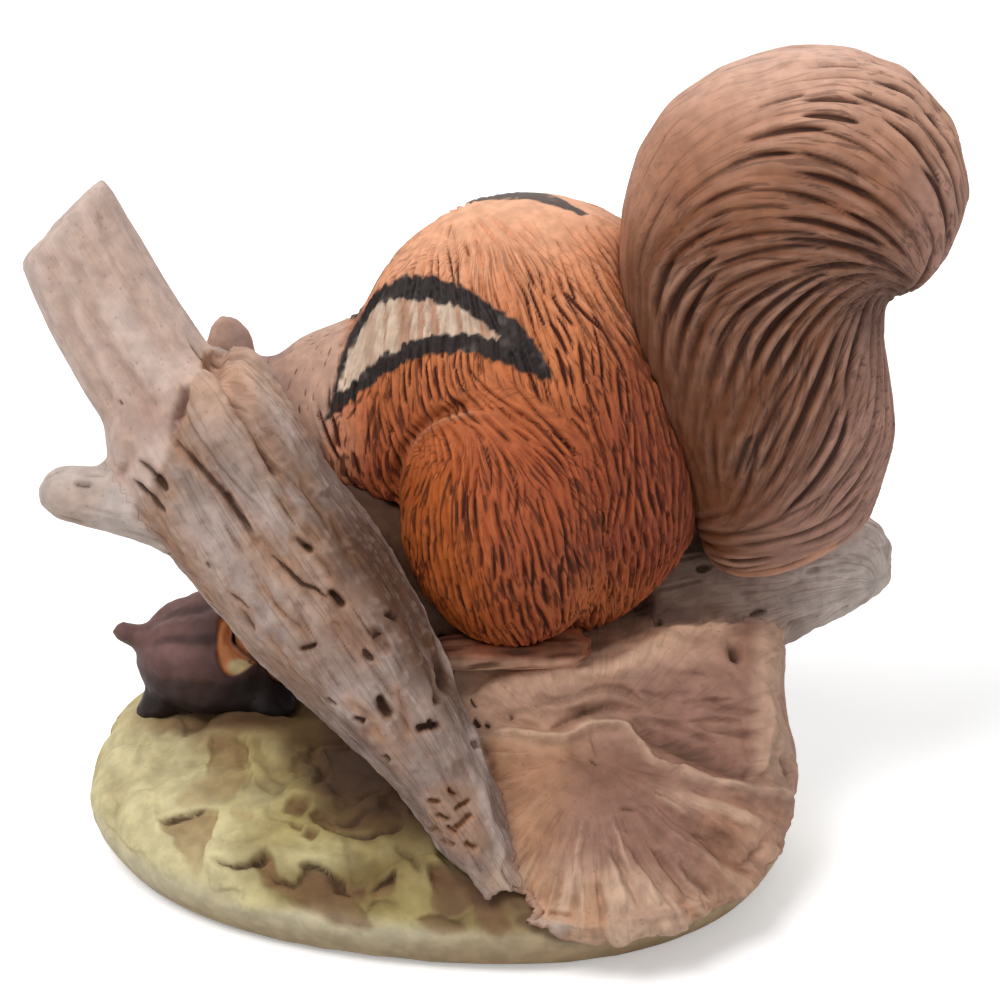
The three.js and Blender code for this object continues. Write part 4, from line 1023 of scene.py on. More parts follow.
paint = painted(points, WOOD_GREY, [
    (WOOD_PALE, on_trunk * ramp(knobs, -0.5, 0.6) * 0.7 + on_twig * 0.7),
    (WOOD_TAN, bark_here * ramp(clouds, 0.1, 0.6) * 0.35),
    (WOOD_SHADE, bark_here * ramp(-ribs, 0.3, 1.0) * 0.3),
    (WOOD_SHADE, on_trunk * ramp(cloud(points, 3.2, 29), 0.35, 0.8) * 0.25 * barked),
    (WOOD_PINK, on_trunk * (1 - barked) * 0.95),
    (WOOD_TAN, on_trunk * (1 - barked) * ramp(-grooved, 0.2, 0.9) * 0.15),
    (WOOD_SHADE, on_trunk * (1 - ramp(trunk_along, 8, 40)) * 0.3),
    (WOOD_TAN, stain * (1 - on_stump) * (0.3 + 0.35 * barked)),
    (WOOD_SHADE, np.clip(cut, 0, 1) * (1 - on_stump) * 0.6),
    (WOOD_ORANGE, near_trunk * channel * 0.55),
    (WOOD_SHADE, bark_here * mottles * 0.3),
    (WOOD_BROWN, on_trunk * ramp(-strands, 0.3, 1.1) * (0.05 + 0.3 * barked)),
    (WOOD_PALE, bark_here * ramp(grit, 0.15, 0.9) * 0.32),
    (WOOD_BROWN, bark_here * ramp(-grit, 0.4, 1.1) * 0.4),
    (WOOD_BROWN, slab_edge_shade * 0.55),
    # painted highlight on the raised tops of the slabs
    (WOOD_PALE, np.clip(raised - 1.2, 0, 1) * (1 - ramp(seen_y, 400, 500)) * 0.15),
    (LIP_CREAM, near_trunk * worn_ends * (0.6 - 0.3 * ramp(cut, 0, 0.4))),
    (WOOD_MAUVE, near_trunk * blot(spots, [142, 418], [38, 30]) * 0.5),
    (WOOD_TAN, web * (0.5 + 0.4 * ramp(worm_depth, 0.05, 0.5))),
    (WOOD_MAUVE, on_stump * 0.9),
    (WOOD_TAN, on_stump * (1 - facing) * ramp(-far_folds, -0.3, 0.8) * 0.5),
    (WOOD_CREAM, on_stump * (1 - facing) * ramp(far_folds, 0.1, 0.9) * 0.55),
    (WOOD_ORANGE, left_fan * 0.9),
    (WOOD_CREAM, fan * (1 - below) * (1 - ramp(seen_x, 560, 680)) * 0.3),
    (WOOD_BROWN, fan * (1 - below) * ramp(-swept, 0.1, 0.8) * 0.35),
    (WOOD_ORANGE, fold_strength * ramp(seen_x, 680, 730) * 0.5),
    (WOOD_CREAM, fan * low_fan * 0.9),
    (WOOD_CREAM, fold_strength * ramp(folds, 0.1, 0.8) * 0.7),
    (WOOD_ORANGE, fold_strength * low_fan * ramp(-folds, 0.1, 0.8) * 0.8),
    (WOOD_BROWN, fold_strength * (1 - low_fan) * ramp(-folds, 0.1, 0.8) * 0.5),
    (WOOD_BROWN, fan * heart * 0.55),
    # the stump's cream lip, with painted light over it
    (LIP_CREAM, fan * lip * 0.9),
    (LIP_CREAM, fan * lobe * 0.6),
    (WOOD_BROWN, fan * notch * 0.5),
    (WOOD_CREAM, fan * column * 0.5),
    (WOOD_BROWN, fan * drawn_cut * 0.9),
    (WOOD_CREAM, fan * ridge * 0.6),
    (WOOD_PALE, torn_rim * facing * 0.85),
    (WOOD_SHADE, on_stub * (0.2 + 0.5 * ramp(-stub_ribs, 0, 0.8)) * (1 - 0.5 * stub_end)),
    # pale ash at the stub's end, painted lighter still as painted light
    (WOOD_ASH, on_stub * stub_end * (0.9 - 0.4 * ramp(-stub_ribs, 0.1, 0.8))),
    (MOUND_BROWN, on_stub * (1 - ramp(seen_x, 690, 770)) * facing * 0.5),
    (WOOD_ASH, on_twig * 0.7),
    (WOOD_TAN, on_twig * ramp(clouds, 0, 0.5) * 0.3),
    (MOUND_BROWN, mound * (0.9 + 0.1 * cloud(points, 4, 24))),
    (MOUND_BROWN, near_trunk * edge_shade * (0.9 - 0.2 * ramp(grit, 0.1, 0.6))),
    (WOOD_SHADE, trunk_foot * ramp(clouds, -0.4, 0.5) * 0.25),
    (WOOD_BROWN, near_trunk * brown_patch * 0.55),
    (WOOD_PALE, near_trunk * pale_patch * (0.4 - 0.3 * ramp(cut, 0, 0.4))),
    (WOOD_CREAM, (on_trunk + on_stump) * facing * blot(spots, [499, 882], [16, 22]) * 0.5),
    (WOOD_SHADE, on_trunk * (1 - ramp(under_edge, 4, 26)) * 0.6),
    (LIP_CREAM, fan * blot(spots, [522, 912], [26, 18]) * 0.5),
    (LIP_CREAM, fan * blot(spots, [766, 850], [22, 30]) * 0.45),
    # painted light on the left end of the lip
    (LIP_CREAM, (on_stump + on_saddle) * facing * blot(spots, [495, 676], [26, 14]) * 0.5),
    (WOOD_MAUVE, fan * blot(spots, [645, 916], [40, 14]) * 0.4),
    # painted light over the shade on the mound and stump under the rump
    (LIP_CREAM, (on_stump + on_saddle) * facing * blot(spots, [640, 632], [62, 22]) * 0.5),
    (WOOD_PINK, on_stub * blot(spots, [858, 525], [30, 26]) * 0.6),
])

put(wood_piece, points + normals * height[:, None])
comb = combed(points, TRUNK_FOOT, trunk_way, 13, 0.55, 6)
stub_comb = combed(points, [45, 2, 35], STUB_WAY, 9, 0.55, 5)
comb = np.where((on_stub > 0.5)[:, None], stub_comb, comb)
fan_comb = np.stack([fan_angle * 26, fan_radius * 0.03, 0 * fan_angle], axis=1)
comb = np.where((on_stump > 0.5)[:, None], fan_comb, comb)
grain = on_trunk * (0.2 + 0.5 * barked) + 0.8 * on_stub + on_stump * facing * 0.45 * ramp(fan_radius, 25, 90)
grain = np.clip(grain, 0, 1)
keep_paint(wood_piece, paint, cut=cut, comb=comb + 0.5 * warp, hair=grain)
bark = bisque(
    "driftwood bisque", 2.2, colour(70, 48, 36), speck=0.2, tooth=0.1, roughness=0.7, hairs=0.3, fray=0.3
)
for number, node in enumerate(WOOD_NODES):
    hand_in(part_of(wood_piece, number, node + "_piece"), bark, "wood_bisque", node)
bpy.data.objects.remove(wood_piece)

# Chipmunk
# Body, haunches, head and forelegs are cast apart and luted, and the joints are sponged away. The
# fur is cut with a fine gouge before firing, and a dark wash is wiped off so that it stays in the
# cuts. Stripes, eyes and nose are painted on, and only the eyes are glazed.

FUR_GRAIN = 1.16
FUR_NODES = ["torso", "thigh_left", "thigh_right", "head", "foreleg_left", "foreleg_right"]
BODY_MIDDLE = 3
THIGH_CENTRE = np.array([0.8, -12, 54.4])
THIGH_POLE = np.array([-0.25, -0.3, 0.92])
FUR_LEAN = np.array([0.26, 0, -1])
FUR_LENGTH = 8
FUR_HALF = 0.46
FUR_SPACING = (4.2, 0.98)
FUR_DEPTH = 0.6

fur_piece = blank("fur", FUR_NODES, FUR_GRAIN, 7)
points, normals = surface(fur_piece)
shares = soften(fur_piece, owners(fur_piece, len(FUR_NODES)), 8)
on_torso = shares[:, FUR_NODES.index("torso")]
on_head = shares[:, FUR_NODES.index("head")]
near_side = points[:, 1] < BODY_MIDDLE
mirrored = points.copy()
mirrored[:, 1] = np.where(near_side, points[:, 1], 2 * BODY_MIDDLE - points[:, 1])
flank = seen(mirrored)
flank_x, flank_y = flank.T
warp = wander(points, 5, 31, 32, 33)

# The haunch: combed from its upper front corner, with a rim above it
from_thigh = mirrored - THIGH_CENTRE
haunch = 1 - ramp(np.linalg.norm(from_thigh / [13.5, 15, 19], axis=1), 0.95, 1.25)
lean = np.tile(FUR_LEAN, (len(points), 1)) + 0.15 * warp
lean[:, 1] += 0.1 * np.where(near_side, -1, 1)
pole = np.tile(-THIGH_POLE, (len(points), 1))
pole[:, 1] *= np.where(near_side, 1, -1)
fanned = haunch * ramp(flank_y, 424, 470) * (1 - ramp(flank_x, 470, 540))
ways = lean * (1 - fanned)[:, None] + pole * fanned[:, None]
crest = haunch * (1 - ramp(flank_y, 424, 476))
over_crest = np.stack([0.8 + 0 * crest, np.where(near_side, -0.35, 0.35), -0.5 + 0 * crest], axis=1)
ways = ways * (1 - crest)[:, None] + over_crest * crest[:, None]
face_way = np.array([-0.72, 0.24, -0.65])
face_way /= np.linalg.norm(face_way)
ways = ways * (1 - on_head)[:, None] - face_way * on_head[:, None]
ways = tangent(ways, normals)
smooth_top = ramp(flank_y - 0.06 * (flank_x - 500) ** 2 / 100, 222, 262)
nape = 1 - ramp(flank_x + 0.2 * (flank_y - 420), 322, 342)
furred = np.clip(smooth_top * (1 - nape), 0.0, 1)
furred = np.clip(furred + haunch, 0, 1) * (1 - on_head)
tousled = 0.3 * cloud(points, 4.5, 45) + 0.14 * cloud(points, 1.8, 35)
ways = tangent(ways + tousled[:, None] * np.array([1, 0.3, 0.2]), normals)
groove, lip = carve(points, normals, ways, furred, FUR_LENGTH, FUR_HALF, FUR_SPACING, 34)
down, _ = carve(points, normals, ways, on_head * 0.8 + 0.15 * nape, 2.0, 0.4, (1.8, 1.1), 36)
height = -FUR_DEPTH * ramp(groove, 0.05, 0.8) + 0.26 * lip - 0.14 * down
height += 0.22 * cloud(points, 6, 37) * furred

# The finest hairs, and the tufts that they stand in, run down from the middle of the back
BODY_CENTRE = [6, 2, 62]
BODY_REACH = 24
HAIR = (0.5, 4.2)  # width and length in millimetres
TUFT = (1.3, 7)
tufts = combed(mirrored, BODY_CENTRE, FUR_LEAN, BODY_REACH, *TUFT)
comb = combed(mirrored, BODY_CENTRE, FUR_LEAN, BODY_REACH, *HAIR)
haunch_comb = combed(mirrored, THIGH_CENTRE, THIGH_POLE, 13, 0.5, 4.5)
comb = np.where((haunch > 0.5)[:, None], haunch_comb, comb)
comb += 0.8 * np.stack([cloud(points, 4, 43), cloud(points, 4, 44), 0 * haunch], axis=1)

# Rim over the haunch and the crease in front of it, with painted shade in the crease
HAUNCH_RIM = [(396, 530), (394, 485), (402, 452), (420, 427), (446, 411), (472, 404), (500, 410)]
reach, along = line_reach(flank, curve_through(HAUNCH_RIM))
height -= 1.0 * bell(reach, 5) * (1 - ramp(along, 0.7, 0.95))
crease_shade = bell(reach, 9) * (1 - ramp(along, 0.7, 0.95))
rim_light = band(flank, [(404, 450), (424, 430), (448, 418), (470, 413)], 3) * haunch
height += 0.3 * rim_light

# Painted stripes: outlines on the near flank, and the same mirrored on the far one
STRIPE_TOP = [
    (325, 422), (331, 395), (338, 366), (346, 343), (358, 319), (372, 299), (388, 285), (410, 275),
    (428, 274), (463, 288), (498, 308), (528, 334), (549, 364), (552, 378),
]
STRIPE_LOW = [
    (545, 380), (515, 369), (484, 357), (458, 353), (423, 358), (397, 367), (375, 382), (349, 404),
]
CREAM = [
    (338, 392), (342, 374), (349, 352), (360, 331), (373, 313), (390, 301), (410, 298), (441, 303),
    (471, 316), (500, 337), (476, 335), (441, 335), (410, 342), (388, 353), (367, 368), (349, 386),
]
# The stripe along the spine: places along the back with its middle and half width there, in millimetres
SPINE_X = [-8, -3.3, -0.3, 3.2, 6.1, 8.4, 10.5, 12]
SPINE_Y = [9, 8.4, 6.9, 6, 5, 3.3, 1.9, 1.8]
SPINE_HALF = [0, 2.0, 2.6, 2.6, 2.3, 1.7, 0.9, 0]
strand_edge = cloud(np.stack([flank_x / 4 + 0.04 * flank_y, flank_y / 45, 0 * nape], axis=1), 1, 39)
ragged = flank + np.stack([1.2 * cloud(points, 1.0, 38), 5 * strand_edge], axis=1)
stripe_outline = np.vstack([curve_through(STRIPE_TOP), curve_through(STRIPE_LOW)])
stripe = ramp(-patch_reach(ragged, stripe_outline), -1.5, 1.5)
cream = ramp(-patch_reach(ragged, curve_through(CREAM)), -1.5, 1.5)
spine_off = np.abs(points[:, 1] - np.interp(points[:, 0], SPINE_X, SPINE_Y) + 0.5 * cloud(points, 1.2, 40))
spine = ramp(np.interp(points[:, 0], SPINE_X, SPINE_HALF) - spine_off, -0.15, 0.15)
spine = spine * ramp(normals[:, 2], 0.1, 0.3)
towards_view = np.where(near_side, normals @ -VIEW_AIM, 1)
stripes_here = on_torso * ramp(towards_view, 0.0, 0.1)

FUR_PEACH = colour(236, 176, 140)
FUR_ORANGE = colour(202, 122, 76)
FUR_RUST = colour(156, 70, 40)
FUR_RED = colour(128, 55, 38)
FUR_OCHRE = colour(178, 90, 34)
FUR_DARK = colour(64, 30, 20)
FUR_HIGHLIGHT = colour(206, 120, 70)
NAPE_TAN = colour(186, 152, 134)
NAPE_SHADE = colour(112, 84, 80)
STRIPE_BLACK = colour(46, 38, 37)
STRIPE_WORN = colour(128, 116, 112)
STRIPE_CREAM = colour(214, 190, 168)
STRIPE_FAN = colour(178, 134, 108)
FACE_TAN = colour(190, 138, 98)

level = flank_y + 12 * warp[:, 0]
ochre = haunch * (1 - ramp(flank_x - 0.12 * (flank_y - 500), 430, 500))
# painted shade on the body beside the tail
shade_by_tail = band(flank, [(628, 260), (652, 340), (674, 420), (696, 500), (708, 560)], 26)
belly = ramp(-normals[:, 2], 0.2, 0.8) * (1 - haunch)
worn = ramp(cloud(points, 1.3, 71) + 0.5 * cloud(points, 0.6, 73), 0.2, 1.0) * 0.35
slant = flank_x / 5 - (flank_x - 400) * (flank_y - 320) / 2500
fan_lines = ramp(cloud(np.stack([slant, flank_y / 80, 0 * stripe], axis=1), 1, 47), -0.3, 0.4)
unpainted = (1 - stripes_here * np.maximum(stripe, cream)) * (1 - on_torso * spine)
patches = 0.62 + 0.38 * ramp(cloud(points, 5.5, 60) + 0.4 * cloud(tufts, 1, 67), -0.5, 0.4)
patches *= 0.75 + 0.25 * ramp(level, 240, 330)
cut = groove * np.clip(unpainted + 0.35, 0, 1) * patches
hair = furred * unpainted * (0.55 + 0.45 * ramp(level, 260, 420)) * (1 - 0.9 * crest)

# Head: brow, eyes, nose and mouth, with the light and dark bands of a chipmunk's face
HEAD_CENTRE = np.array([-36.8, 6, 57.2])
HEAD_HALF_LENGTH = 15.5
HEAD_HALF_WIDTH = 12.5
EYE_REACH = 2.3
head_across = np.cross([0, 0, 1], face_way)
head_across /= np.linalg.norm(head_across)
head_up = np.cross(face_way, head_across)
from_head = points - HEAD_CENTRE
forward = from_head @ face_way / HEAD_HALF_LENGTH
aside = from_head @ head_across / HEAD_HALF_WIDTH
upward = from_head @ head_up / HEAD_HALF_WIDTH
left_or_right = np.abs(aside)
EYE_FORWARD, EYE_ASIDE, EYE_UP = 0.42, 0.74, 0.24
eye_apart = np.stack(
    [
        (forward - EYE_FORWARD) * HEAD_HALF_LENGTH,
        (left_or_right - EYE_ASIDE) * HEAD_HALF_WIDTH,
        (upward - EYE_UP) * HEAD_HALF_WIDTH,
    ],
    axis=1,
)
eye_reach = np.linalg.norm(eye_apart * [0.85, 0.6, 1.1], axis=1)
eyeball = on_head * (1 - ramp(eye_reach, EYE_REACH * 0.8, EYE_REACH * 0.95))
lid = on_head * bell(eye_reach - EYE_REACH * 1.25, 0.45)
dome = np.sqrt(np.clip(1 - (eye_reach / EYE_REACH) ** 2, 0, 1))
height += on_head * (0.8 * dome * eyeball - 0.35 * bell(eye_reach - EYE_REACH, 0.35) + 0.35 * lid)
nose_reach = np.linalg.norm(
    np.stack(
        [(forward - 1.3) * HEAD_HALF_LENGTH, aside * HEAD_HALF_WIDTH, (upward + 0.2) * HEAD_HALF_WIDTH],
        axis=1,
    ),
    axis=1,
)
nose = on_head * (1 - ramp(nose_reach, 2.2, 3.0))
height += 0.4 * nose
mouth = on_head * np.exp(-((upward + 0.62 + 0.5 * left_or_right) ** 2) / 0.0016) * ramp(forward, 0.75, 0.95)
height -= 0.4 * mouth
band_above = on_head * bell(upward - 0.52 + 0.1 * forward, 0.1) * ramp(forward, -0.45, -0.2)
band_below = on_head * bell(upward + 0.1 * forward, 0.1) * ramp(forward, -0.45, -0.2)
band_through = on_head * bell(upward - 0.26 + 0.06 * forward, 0.07) * ramp(forward, -0.6, -0.3)
side_face = ramp(left_or_right, 0.35, 0.6) * (1 - ramp(forward, 0.85, 1.1))
paint = painted(points, FUR_ORANGE, [
    (FUR_PEACH, 1 - ramp(level + 0.25 * (flank_x - 400), 235, 345)),
    (FUR_PEACH, (1 - ramp(flank_x, 322, 372)) * (1 - ramp(level, 400, 520)) * 0.8),
    (FUR_RUST, ramp(level, 330, 470) * 0.85),
    (FUR_RED, ramp(level, 420, 600) * ramp(flank_x, 460, 600) * 0.85),
    (FUR_RED, ramp(flank_x, 560, 640) * ramp(level, 250, 380) * 0.8),
    (FUR_OCHRE, ochre * 0.8),
    (FUR_OCHRE, haunch * ramp(level, 560, 620) * (1 - ramp(flank_x, 460, 540)) * 0.6),
    (FUR_DARK, crease_shade * 0.35),
    (FUR_DARK, shade_by_tail * 0.45),
    (FUR_PEACH, rim_light * 0.5),
    (FUR_PEACH, blot(flank, [332, 452], [26, 40]) * (1 - haunch) * 0.65),
    # painted light over the shade under the rump
    (FUR_HIGHLIGHT, blot(flank, [610, 606], [58, 30]) * 0.6),
    (NAPE_TAN, nape * 0.9),
    (NAPE_SHADE, nape * blot(flank, [270, 398], [22, 36]) * 0.85),
    (STRIPE_CREAM, belly * (1 - near_side) * 0.6),
    (STRIPE_BLACK, stripes_here * stripe),
    (STRIPE_WORN, stripes_here * stripe * worn),
    (STRIPE_CREAM, stripes_here * cream),
    (STRIPE_FAN, stripes_here * cream * fan_lines * ramp(flank_x, 345, 400) * 0.9),
    (STRIPE_BLACK, on_torso * spine * (0.95 - worn)),
    # painted highlights on the raised lips of the fur cuts
    (FUR_HIGHLIGHT, furred * lip * 0.45 * unpainted * ramp(level, 300, 380)),
    (FUR_PEACH, furred * lip * 0.4 * unpainted * (1 - ramp(level, 300, 380))),
    (FACE_TAN, on_head * ramp(forward, -0.6, 0.0) * 0.7),
    (FUR_RUST, on_head * ramp(upward, 0.55, 0.9) * 0.6),
    (STRIPE_CREAM, on_head * ramp(-upward, 0.3, 0.7) * ramp(forward, -0.2, 0.2) * 0.8),
    (STRIPE_CREAM, (band_above + band_below) * side_face * 0.9),
    (FUR_DARK, band_through * side_face * 0.8),
    (STRIPE_CREAM, lid * 0.7),
    (colour(22, 15, 13), eyeball),
    (colour(112, 62, 52), nose * 0.9),
    (FUR_DARK, mouth * 0.8),
])

put(fur_piece, points + normals * height[:, None])
cut = np.maximum(cut * (1 - on_head), 0.7 * down * (1 - eyeball))
keep_paint(fur_piece, paint, cut=cut, comb=comb, hair=hair * (1 - on_head), gloss=eyeball + 0.4 * nose)
fur = bisque("fur bisque", 1.8, colour(70, 30, 20), 1, speck=0.06, roughness=0.55, hairs=0.75, fray=0.18)
for number, node in enumerate(FUR_NODES):
    hand_in(part_of(fur_piece, number, node + "_piece"), fur, "fur_bisque", node)
bpy.data.objects.remove(fur_piece)

# Ears and hind feet
# Small solid sprigs of the same clay, pressed on with slip. The ears are cupped towards the front,
# and the long hind feet are cut into toes.

SKIN_MAUVE = colour(170, 140, 130)
SKIN_TAN = colour(196, 158, 136)
SKIN_BROWN = colour(122, 76, 54)
skin = bisque("skin bisque", mottle=1.5, wash=colour(66, 40, 30), speck=0.06)

for node in ["ear_left", "ear_right"]:
    ear = blank(node + "_piece", [node], 0.55, 5, levels=1)
    points, normals = surface(ear)
    middle = (points.max(axis=0) + points.min(axis=0)) / 2
    front = ramp(normals @ face_way, 0.2, 0.7)
    rim = ramp(np.linalg.norm(points - middle, axis=1), 1.6, 3.6)
    height = -1.0 * front * (1 - rim) + 0.1 * cloud(points, 1.5, 41)
    put(ear, points + normals * height[:, None])
    paint = painted(points, SKIN_MAUVE, [
        (SKIN_TAN, rim * 0.5),
        (FUR_DARK, front * (1 - rim) * 0.4),
    ])
    keep_paint(ear, paint)
    hand_in(ear, skin, "skin_bisque", node)

for node in ["hind_foot_left", "hind_foot_right"]:
    hind_foot = blank(node + "_piece", [node], 0.6, 3, levels=1)
    points, normals = surface(hind_foot)
    low, high = points.min(axis=0), points.max(axis=0)
    toes = 1 - ramp(points[:, 0], low[0] + 4, low[0] + 8)
    place = (points[:, 1] - low[1]) / (high[1] - low[1])
    slots = np.abs(np.sin(math.pi * 4 * place)) ** 0.5
    hairs = cloud(points @ np.diag([0.15, 1, 1]), 0.7, 42)
    height = -0.6 * toes * (1 - slots) * ramp(normals[:, 2], -0.2, 0.3) + 0.3 * hairs * (1 - toes)
    put(hind_foot, points + normals * height[:, None])
    paint = painted(points, SKIN_BROWN, [
        (FUR_RUST, (1 - toes) * ramp(hairs, 0, 0.6) * 0.4),
        (LIP_CREAM, ramp(seen(points)[:, 1] + 3 * hairs, 655, 667) * 0.7),
        (FUR_DARK, ramp(-hairs, 0.0, 0.6) * 0.7 + toes * (1 - slots) * 0.6),
    ])
    keep_paint(hind_foot, paint)
    hand_in(hind_foot, skin, "skin_bisque", node)

# Tail
# The bushy tail is cast by itself and luted to the rump. It rises beside the body, rolls over at the
# top, and its long hairs are combed up from the root and round the crease.

TAIL_GRAIN = 1.3
TAIL_CREASE = np.array([50.7, -4, 82.8])
TAIL_LENGTH = 17
TAIL_HALF = 0.8
TAIL_SPACING = (10, 2.1)
TAIL_DEPTH = 0.95
TAIL_HEART = (27, 30)
TAIL_TURN_IN = math.radians(45)

tail = blank("tail_piece", ["tail"], TAIL_GRAIN, 7)
points, normals = surface(tail)
spots = seen(points)
seen_x, seen_y = spots.T
warp = wander(points, 8, 51, 52, 53)
right = points[:, 0] - TAIL_CREASE[0]
above = points[:, 2] - TAIL_CREASE[2]
# Hairs follow lines that spread from the root, then spiral in to the crease
crease_reach = np.hypot(right, above) + 1e-6
height_in_tail = TAIL_CREASE[2] - TAIL_HEART[1]
spread = (points[:, 0] - TAIL_HEART[0]) / np.maximum(points[:, 2] - TAIL_HEART[1], 3)
from_root = TAIL_CREASE[0] - TAIL_HEART[0] - height_in_tail * spread
rolled = ramp(above + 0.2 * right, -12, 8)
circle = np.stack([above, 0 * right, -right], axis=1) / crease_reach[:, None]
inwards = np.stack([-right, 0 * right, -above], axis=1) / crease_reach[:, None]
turn_in = TAIL_TURN_IN * (1 - 0.8 * ramp(crease_reach, 22, 35))
spiral = circle * np.cos(turn_in)[:, None] + inwards * np.sin(turn_in)[:, None]
rising = np.stack([spread, 0 * right, 0 * right + 1], axis=1)
rising /= np.linalg.norm(rising, axis=1)[:, None]
rising += 0.3 * inwards * ramp(above, -28, -8)[:, None]
rounds = np.arctan2(above, -right)
rounds = np.where(rounds < -math.pi / 2, rounds + 2 * math.pi, rounds)
reaches = np.arange(1, 60, 0.5)
slowness = 1 / (reaches * np.tan(TAIL_TURN_IN * (1 - 0.8 * ramp(reaches, 22, 35))))
wound = np.cumsum(slowness) * 0.5
lane = np.interp(crease_reach, reaches, wound) + rounds
rising_lane = np.interp(np.abs(from_root), reaches, wound) * np.sign(from_root)
lane = 16 * (rising_lane * (1 - rolled) + lane * rolled)
travelled = np.where(above > 0, rounds * 22, above)
comb = np.stack([lane / 0.75, points[:, 1] / 0.75, travelled / 8], axis=1)
comb[:, :2] += 0.9 * wander(points, 5, 58, 59)
ways = spiral * rolled[:, None] + rising * (1 - rolled)[:, None] + 0.1 * warp
lowest = ramp(seen_y + 0.1 * (760 - seen_x), 490, 535)
ways = ways * (1 - lowest)[:, None] + np.array([0.93, 0, 0.36]) * lowest[:, None]
ways = tangent(ways, normals)
side_on = ramp(np.abs(normals[:, 1]), 0.08, 0.4)
crowded = ramp(cloud(points, 10, 54), -0.6, 0.3)
fading = 1 - 0.85 * ramp(crease_reach + 1.5 * warp[:, 0], 29, 35) * ramp(above, -10, 5)
fading *= 1 - 0.6 * ramp(-right - 0.4 * above, 22, 30) * ramp(-above, -8, 4)
groove, lip = carve(points, normals, ways, 0.9 * fading, TAIL_LENGTH, TAIL_HALF, TAIL_SPACING, 55)
fine, fine_lip = carve(points, normals, ways, fading, 9, 0.45, (6, 1.5), 56)
strength = np.maximum((0.5 + 0.5 * crowded) * (0.5 + 0.5 * side_on) * fading, 0.8 * lowest * side_on)
height = -TAIL_DEPTH * ramp(groove, 0.05, 0.8) * strength + 0.3 * lip * strength
height += 0.1 * fine_lip - 0.2 * ramp(fine, 0.05, 0.8) * fading
height += 0.5 * cloud(points + 2 * warp, 9, 57) * side_on
put(tail, points + normals * height[:, None])

TAIL_PEACH = colour(216, 172, 150)
TAIL_TAN = colour(182, 132, 106)
TAIL_BROWN = colour(134, 82, 54)
TAIL_UMBER = colour(96, 56, 34)
TAIL_PLUM = colour(172, 132, 118)
TAIL_DARK = colour(58, 36, 30)
TAIL_RIM = colour(210, 152, 116)

level = seen_y + 14 * warp[:, 0]
left_edge = 1 - ramp(seen_x + 0.12 * (seen_y - 300), 622, 672)
tail_rim = band(spots, [(690, 572), (740, 574), (790, 570), (835, 548)], 5)
# painted light on the tail's right edge
lit_right_edge = ramp(seen_x, 872, 930) * ramp(seen_y, 130, 190) * (1 - ramp(seen_y, 262, 300))
cut = np.maximum(groove * (0.45 + 0.6 * strength), 0.55 * fine * fading)
paint = painted(points, TAIL_BROWN, [
    (TAIL_TAN, 1 - ramp(level, 110, 240)),
    (TAIL_PEACH, (1 - ramp(level, 50, 160)) * 0.85),
    (TAIL_TAN, left_edge * (1 - ramp(level, 330, 480)) * 0.7),
    (TAIL_PEACH, ramp(seen_x, 900, 960) * 0.35),
    (TAIL_UMBER, side_on * ramp(level, 180, 280) * (1 - ramp(level, 540, 640)) * 0.75),
    (TAIL_UMBER, lowest * side_on * (1 - ramp(seen_x, 790, 860)) * 0.7),
    (TAIL_PLUM, ramp(seen_x + 0.6 * (seen_y - 400), 800, 900) * ramp(level, 330, 420) * 0.7),
    (FUR_RED, ramp(700 - seen_x, 0, 50) * ramp(level, 380, 480) * 0.5),
    (TAIL_RIM, tail_rim * 0.6),
    (TAIL_UMBER, blot(spots, [826, 180], [52, 24]) * 0.55),
    # painted light on the tail's right edge and right side
    (TAIL_PLUM, lit_right_edge * 0.7),
    (TAIL_PLUM, blot(spots, [872, 345], [28, 60]) * 0.6),
    # painted highlights on the raised lips of the hair cuts
    (TAIL_PEACH, lip * strength * 0.4),
    (TAIL_DARK, (1 - ramp(crease_reach, 2.5, 8)) * 0.5),
])
keep_paint(tail, paint, cut=cut, comb=comb, hair=(0.3 + 0.7 * fading) * (1 - 0.8 * lowest))
brush = bisque("tail bisque", 2.6, colour(58, 34, 26), speck=0.05, roughness=0.55, hairs=0.45, fray=0.15)
hand_in(tail, brush, "tail_bisque", "tail")

# Nut and husk
# A ripe nut in its split husk, cast as two pieces and luted to the base behind the trunk. The husk
# is ribbed and nearly black in its folds, and the nut is wiped with orange and has a pale scar.

HUSK_MAUVE = colour(138, 102, 98)
HUSK_BROWN = colour(76, 54, 50)
HUSK_BLACK = colour(34, 27, 27)
NUT_ORANGE = colour(206, 134, 88)
NUT_SCAR = colour(214, 194, 146)

# The split in the husk through which the nut shows, in the photograph's frame
SPLIT = [
    (219, 620), (216, 645), (221, 668), (232, 676), (245, 670), (257, 663), (280, 666), (280, 640),
    (240, 610),
]
SCAR = np.array([241, 667])


def scar_reach(spots):
    """Distance from the nut's pale scar in the photograph's frame"""
    return np.linalg.norm((spots - SCAR) / [1.5, 1], axis=1)


